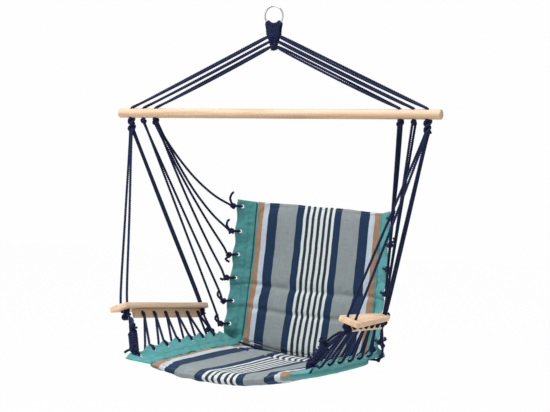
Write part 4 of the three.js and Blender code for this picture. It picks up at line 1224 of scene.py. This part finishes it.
for word, side in sides:
    band = side_band(f"back_band_hemmed_{word}", back_middle, side, back_wadding, 0, back_eyelets,
                     back_pitch, back_band_folds, 0)
    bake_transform(band)
    stand_for(band, "band_cloth", f"back_band_{word}")
    fold_points, fold_faces, fold_wide, fold_high = [], [], 24, 10
    for i in range(fold_wide + 1):
        out = (band_wide - 0.016) * i / fold_wide
        seat_side = seat_middle(side * (pad_half + out), pad_inset + 0.004 + seat_slant * out / band_wide)
        back_side = back_middle(side * (pad_half + out), 0.010)
        for j in range(fold_high + 1):
            t = j / fold_high
            bulge = math.sin(math.pi * t) * (0.004 + 0.010 * i / fold_wide)
            bulge += 0.0016 * math.sin(math.pi * t) * ripple(out * 70, t * 2.5, side)
            fold_points.append(seat_side.lerp(back_side, t) + Vector((side * 0.3, 0.75, -0.6)) * bulge)
            if i < fold_wide and j < fold_high:
                a = i * (fold_high + 1) + j
                fold_faces.append((a, a + 1, a + fold_high + 2, a + fold_high + 1))
    fold = piece(f"corner_fold_{word}", fold_points, fold_faces, teal_cotton)
    write_on(fold.data, "cloth_place", [(v.co.x - 0.3, v.co.z, 0) for v in fold.data.vertices])
    body = fold.modifiers.new("thickness", "SOLIDIFY")
    body.thickness, body.offset = 0.0013, 0
    settle(fold)
    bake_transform(fold)
    stand_for(fold, "band_cloth")
    eyelets = set_eyelets(f"back_eyelets_{word}", back_middle, side, back_eyelets)
    ride_on(eyelets, "back", "steel", *[f"back_eyelet_{word}_{i + 1}" for i in range(6)])
    hem_seams = sew(f"back_band_stitches_{word}", band, back_middle,
                    band_rows(side, back_height, 0, back_eyelets, back_pitch), teal_thread, 0.006)
    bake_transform(hem_seams)
    stand_for(hem_seams, "band_cloth")
    for i, place in enumerate(back_eyelets):
        hole, out, up = back_rope_starts[i]
        start = bar_knot(side, hole) + Vector((side * out, up, 0)) * pair_offset
        centre, outward, normal = eyelet_frame(back_middle, side, place)
        tied = centre + outward * tied_out
        sag = back_rope_sags[i]
        steps = [0.0, 0.08, 0.25, 0.5, 0.75, 0.93] if sag else [0.0, 0.5, 0.96]
        line = [start.lerp(tied, s) - upward * 4 * sag * s * (1 - s) for s in steps]
        line += [tied + outward * 0.003 + normal * 0.002] + hairpin(back_middle, side, place)
        way, far = back_tails[i]
        far *= 1 if side < 0 else right_tail_share
        tail = Vector((side * (way[0] + 0.25), way[1], way[2])).normalized()
        curl = tail.cross(outward).normalized()
        line += [tied - normal * 0.0035, tied + tail * 0.009 + outward * 0.005,
                 tied + tail * far * 0.55 + outward * 0.009 + curl * 0.003,
                 tied + tail * far * 0.85 + outward * 0.004 + curl * 0.006,
                 tied + tail * far - outward * 0.004 + curl * 0.003]
        line = follow(line)
        rope = lay_rope(f"back_cord_{word}_{i + 1}", line)
        knot = tie_knot(f"back_knot_{word}_{i + 1}", tied, outward, 0.0215, 0.0185, "back", start=i + side)
        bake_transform(rope)
        free_rope(rope, f"back_rope_{word}_{i + 1}")

# The crease. A strip of the striped cloth turns under from the seat to the back, and a cord runs
# along inside it, knotted past both sides. A rope from each armrest's rear knot holds that cord.
crease_inset, strip_gap, strip_thick = 0.005, 0.0015, 0.003


def crease_place(across, back, up):
    foot = back_middle(across, 0)
    return Vector((foot.x, foot.y - back_thick / 2 + back, foot.z + up))


strip_points, strip_faces, strip_places = [], [], []
strip_wide, strip_round = 76, 12
seat_end = Vector((strip_gap - crease_inset, -seat_thick / 2))
back_end = Vector((back_thick / 2 + crease_inset * math.sin(back_recline),
                   (crease_inset - strip_gap) * math.cos(back_recline)))
under = Vector((back_end.x + strip_thick / 2, seat_end.y))
for face in (1, -1):
    for i in range(strip_wide + 1):
        across = pad_half * (2 * i / strip_wide - 1)
        for j in range(strip_round + 1):
            t = j / strip_round
            at = seat_end * (1 - t) ** 2 + under * 2 * t * (1 - t) + back_end * t * t
            tangent = ((under - seat_end) * (1 - t) + (back_end - under) * t).normalized()
            lift = face * strip_thick * 0.42 + 0.0007 * ripple(across * 60, t * 2, 3)
            strip_points.append(crease_place(across, at.x - tangent.y * lift, at.y + tangent.x * lift))
            strip_places.append((across, t * 0.03, 0))
strip_half = (strip_wide + 1) * (strip_round + 1)
grid = lambda i, j, face: (0 if face > 0 else strip_half) + i * (strip_round + 1) + j
for i in range(strip_wide):
    for j in range(strip_round):
        strip_faces.append((grid(i, j, 1), grid(i + 1, j, 1), grid(i + 1, j + 1, 1), grid(i, j + 1, 1)))
        strip_faces.append((grid(i, j, -1), grid(i, j + 1, -1), grid(i + 1, j + 1, -1), grid(i + 1, j, -1)))
    strip_faces.append((grid(i, 0, -1), grid(i + 1, 0, -1), grid(i + 1, 0, 1), grid(i, 0, 1)))
    strip_faces.append((grid(i, strip_round, 1), grid(i + 1, strip_round, 1),
                        grid(i + 1, strip_round, -1), grid(i, strip_round, -1)))
for j in range(strip_round):
    strip_faces.append((grid(0, j, 1), grid(0, j + 1, 1), grid(0, j + 1, -1), grid(0, j, -1)))
    strip_faces.append((grid(strip_wide, j, 1), grid(strip_wide, j, -1), grid(strip_wide, j + 1, -1),
                        grid(strip_wide, j + 1, 1)))
strip = piece("crease_strip_turned", strip_points, strip_faces, striped_cotton)
write_on(strip.data, "cloth_place", strip_places)
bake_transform(strip)
stand_for(strip, "cushion_cloth", "crease_strip")


def on_crease_cord(across):
    return crease_place(across, 0.0015, -0.0042)


crease_reach = pad_half + 0.034
line = follow([on_crease_cord(crease_reach * (2 * i / 16 - 1)) for i in range(17)])
crease_rope = lay_rope("crease_cord_laid", line)
crease_knots = [tie_knot(f"crease_knot_{word}", on_crease_cord(side * crease_reach), (1, 0, 0),
                         0.0155, 0.013, "chair", start=side) for word, side in sides]
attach(crease_rope, "chair")
free_rope(crease_rope, "crease_cord")
for word, side in sides:
    start, end = rear_knot_centre(side), on_crease_cord(side * crease_reach)
    hanging = [start.lerp(end, share) + Vector((side * out, 0, -sag))
               for share, out, sag in ((0.25, 0.005, 0.013), (0.5, 0.008, 0.020), (0.78, 0.006, 0.013))]
    line = follow([start] + hanging + [end])
    rope = lay_rope(f"rear_rope_{word}", line)
    rear_hitches = [tie_knot(f"rear_hitch_{word}_{i + 1}", line[round(share * (len(line) - 1))],
                             end - start, wide, wide * 0.85, "chair", start=i + side)
                    for i, (share, wide) in enumerate(((0.50, 0.0165), (0.80, 0.0150)))]
    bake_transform(rope)
    free_rope(rope, f"rear_tie_{word}")

# The room. A plain pale floor well below the chair, one broad soft lamp above it, a weaker one in
# front at the left of the view, and a pale backdrop that gives even light from all round.
floor_drop, floor_reach, floor_glow = -1.55, 9, 0.97
fill_strength, backdrop_strength = 0.50, 0.99
room_white, room_surface = shader("pale_room", 0.9)
room_surface.inputs["Base Color"].default_value = (0.86, 0.86, 0.86, 1)
glow = node(room_white, "ShaderNodeEmission", {"Color": (1, 1, 1, 1), "Strength": 1.0})
rays = node(room_white, "ShaderNodeLightPath").outputs
seen = reckon(room_white, "MAXIMUM", rays["Is Camera Ray"], rays["Is Glossy Ray"])
seen = reckon(room_white, "MAXIMUM", seen, rays["Is Transmission Ray"])
part_lit = node(room_white, "ShaderNodeMixShader", {0: reckon(room_white, "MULTIPLY", seen, floor_glow),
                                                    1: room_surface.outputs[0], 2: glow.outputs[0]})
join(room_white, part_lit.outputs[0], room_white.node_tree.nodes["Material Output"], 0)
floor_corners = [(x * floor_reach, y * floor_reach, floor_drop)
                 for x, y in ((-1, -1), (1, -1), (1, 1), (-1, 1))]
floor = piece("floor", floor_corners, [(0, 1, 2, 3)], room_white)

sky = bpy.data.worlds.new("even_light")
bpy.context.scene.world = sky
sky.use_nodes = True
fill = sky.node_tree.nodes["Background"]
fill.inputs["Color"].default_value = (1, 1, 1, 1)
fill.inputs["Strength"].default_value = fill_strength
backdrop = node(sky, "ShaderNodeBackground", {"Color": (1, 1, 1, 1), "Strength": backdrop_strength})
rays = node(sky, "ShaderNodeLightPath").outputs
seen = reckon(sky, "MAXIMUM", rays["Is Camera Ray"], rays["Is Glossy Ray"])
mixed_sky = node(sky, "ShaderNodeMixShader", {0: seen, 1: fill.outputs[0], 2: backdrop.outputs[0]})
join(sky, mixed_sky.outputs[0], sky.node_tree.nodes["World Output"], 0)


def lamp(name, place, aim, size, power):
    light = bpy.data.lights.new(name, "AREA")
    light.shape, light.size, light.energy = "DISK", size, power
    made = stand(name, light)
    made.location = place
    made.rotation_euler = (Vector(aim) - Vector(place)).to_track_quat("-Z", "Y").to_euler()


lamp("soft_lamp_above", (-0.5, -1.1, 2.5), (0, 0, -0.9), 2.6, 135)
lamp("soft_lamp_front", (-3.0, -3.6, 0.8), (0, 0, -0.7), 2.2, 47)
bpy.context.scene.view_settings.view_transform = "Standard"
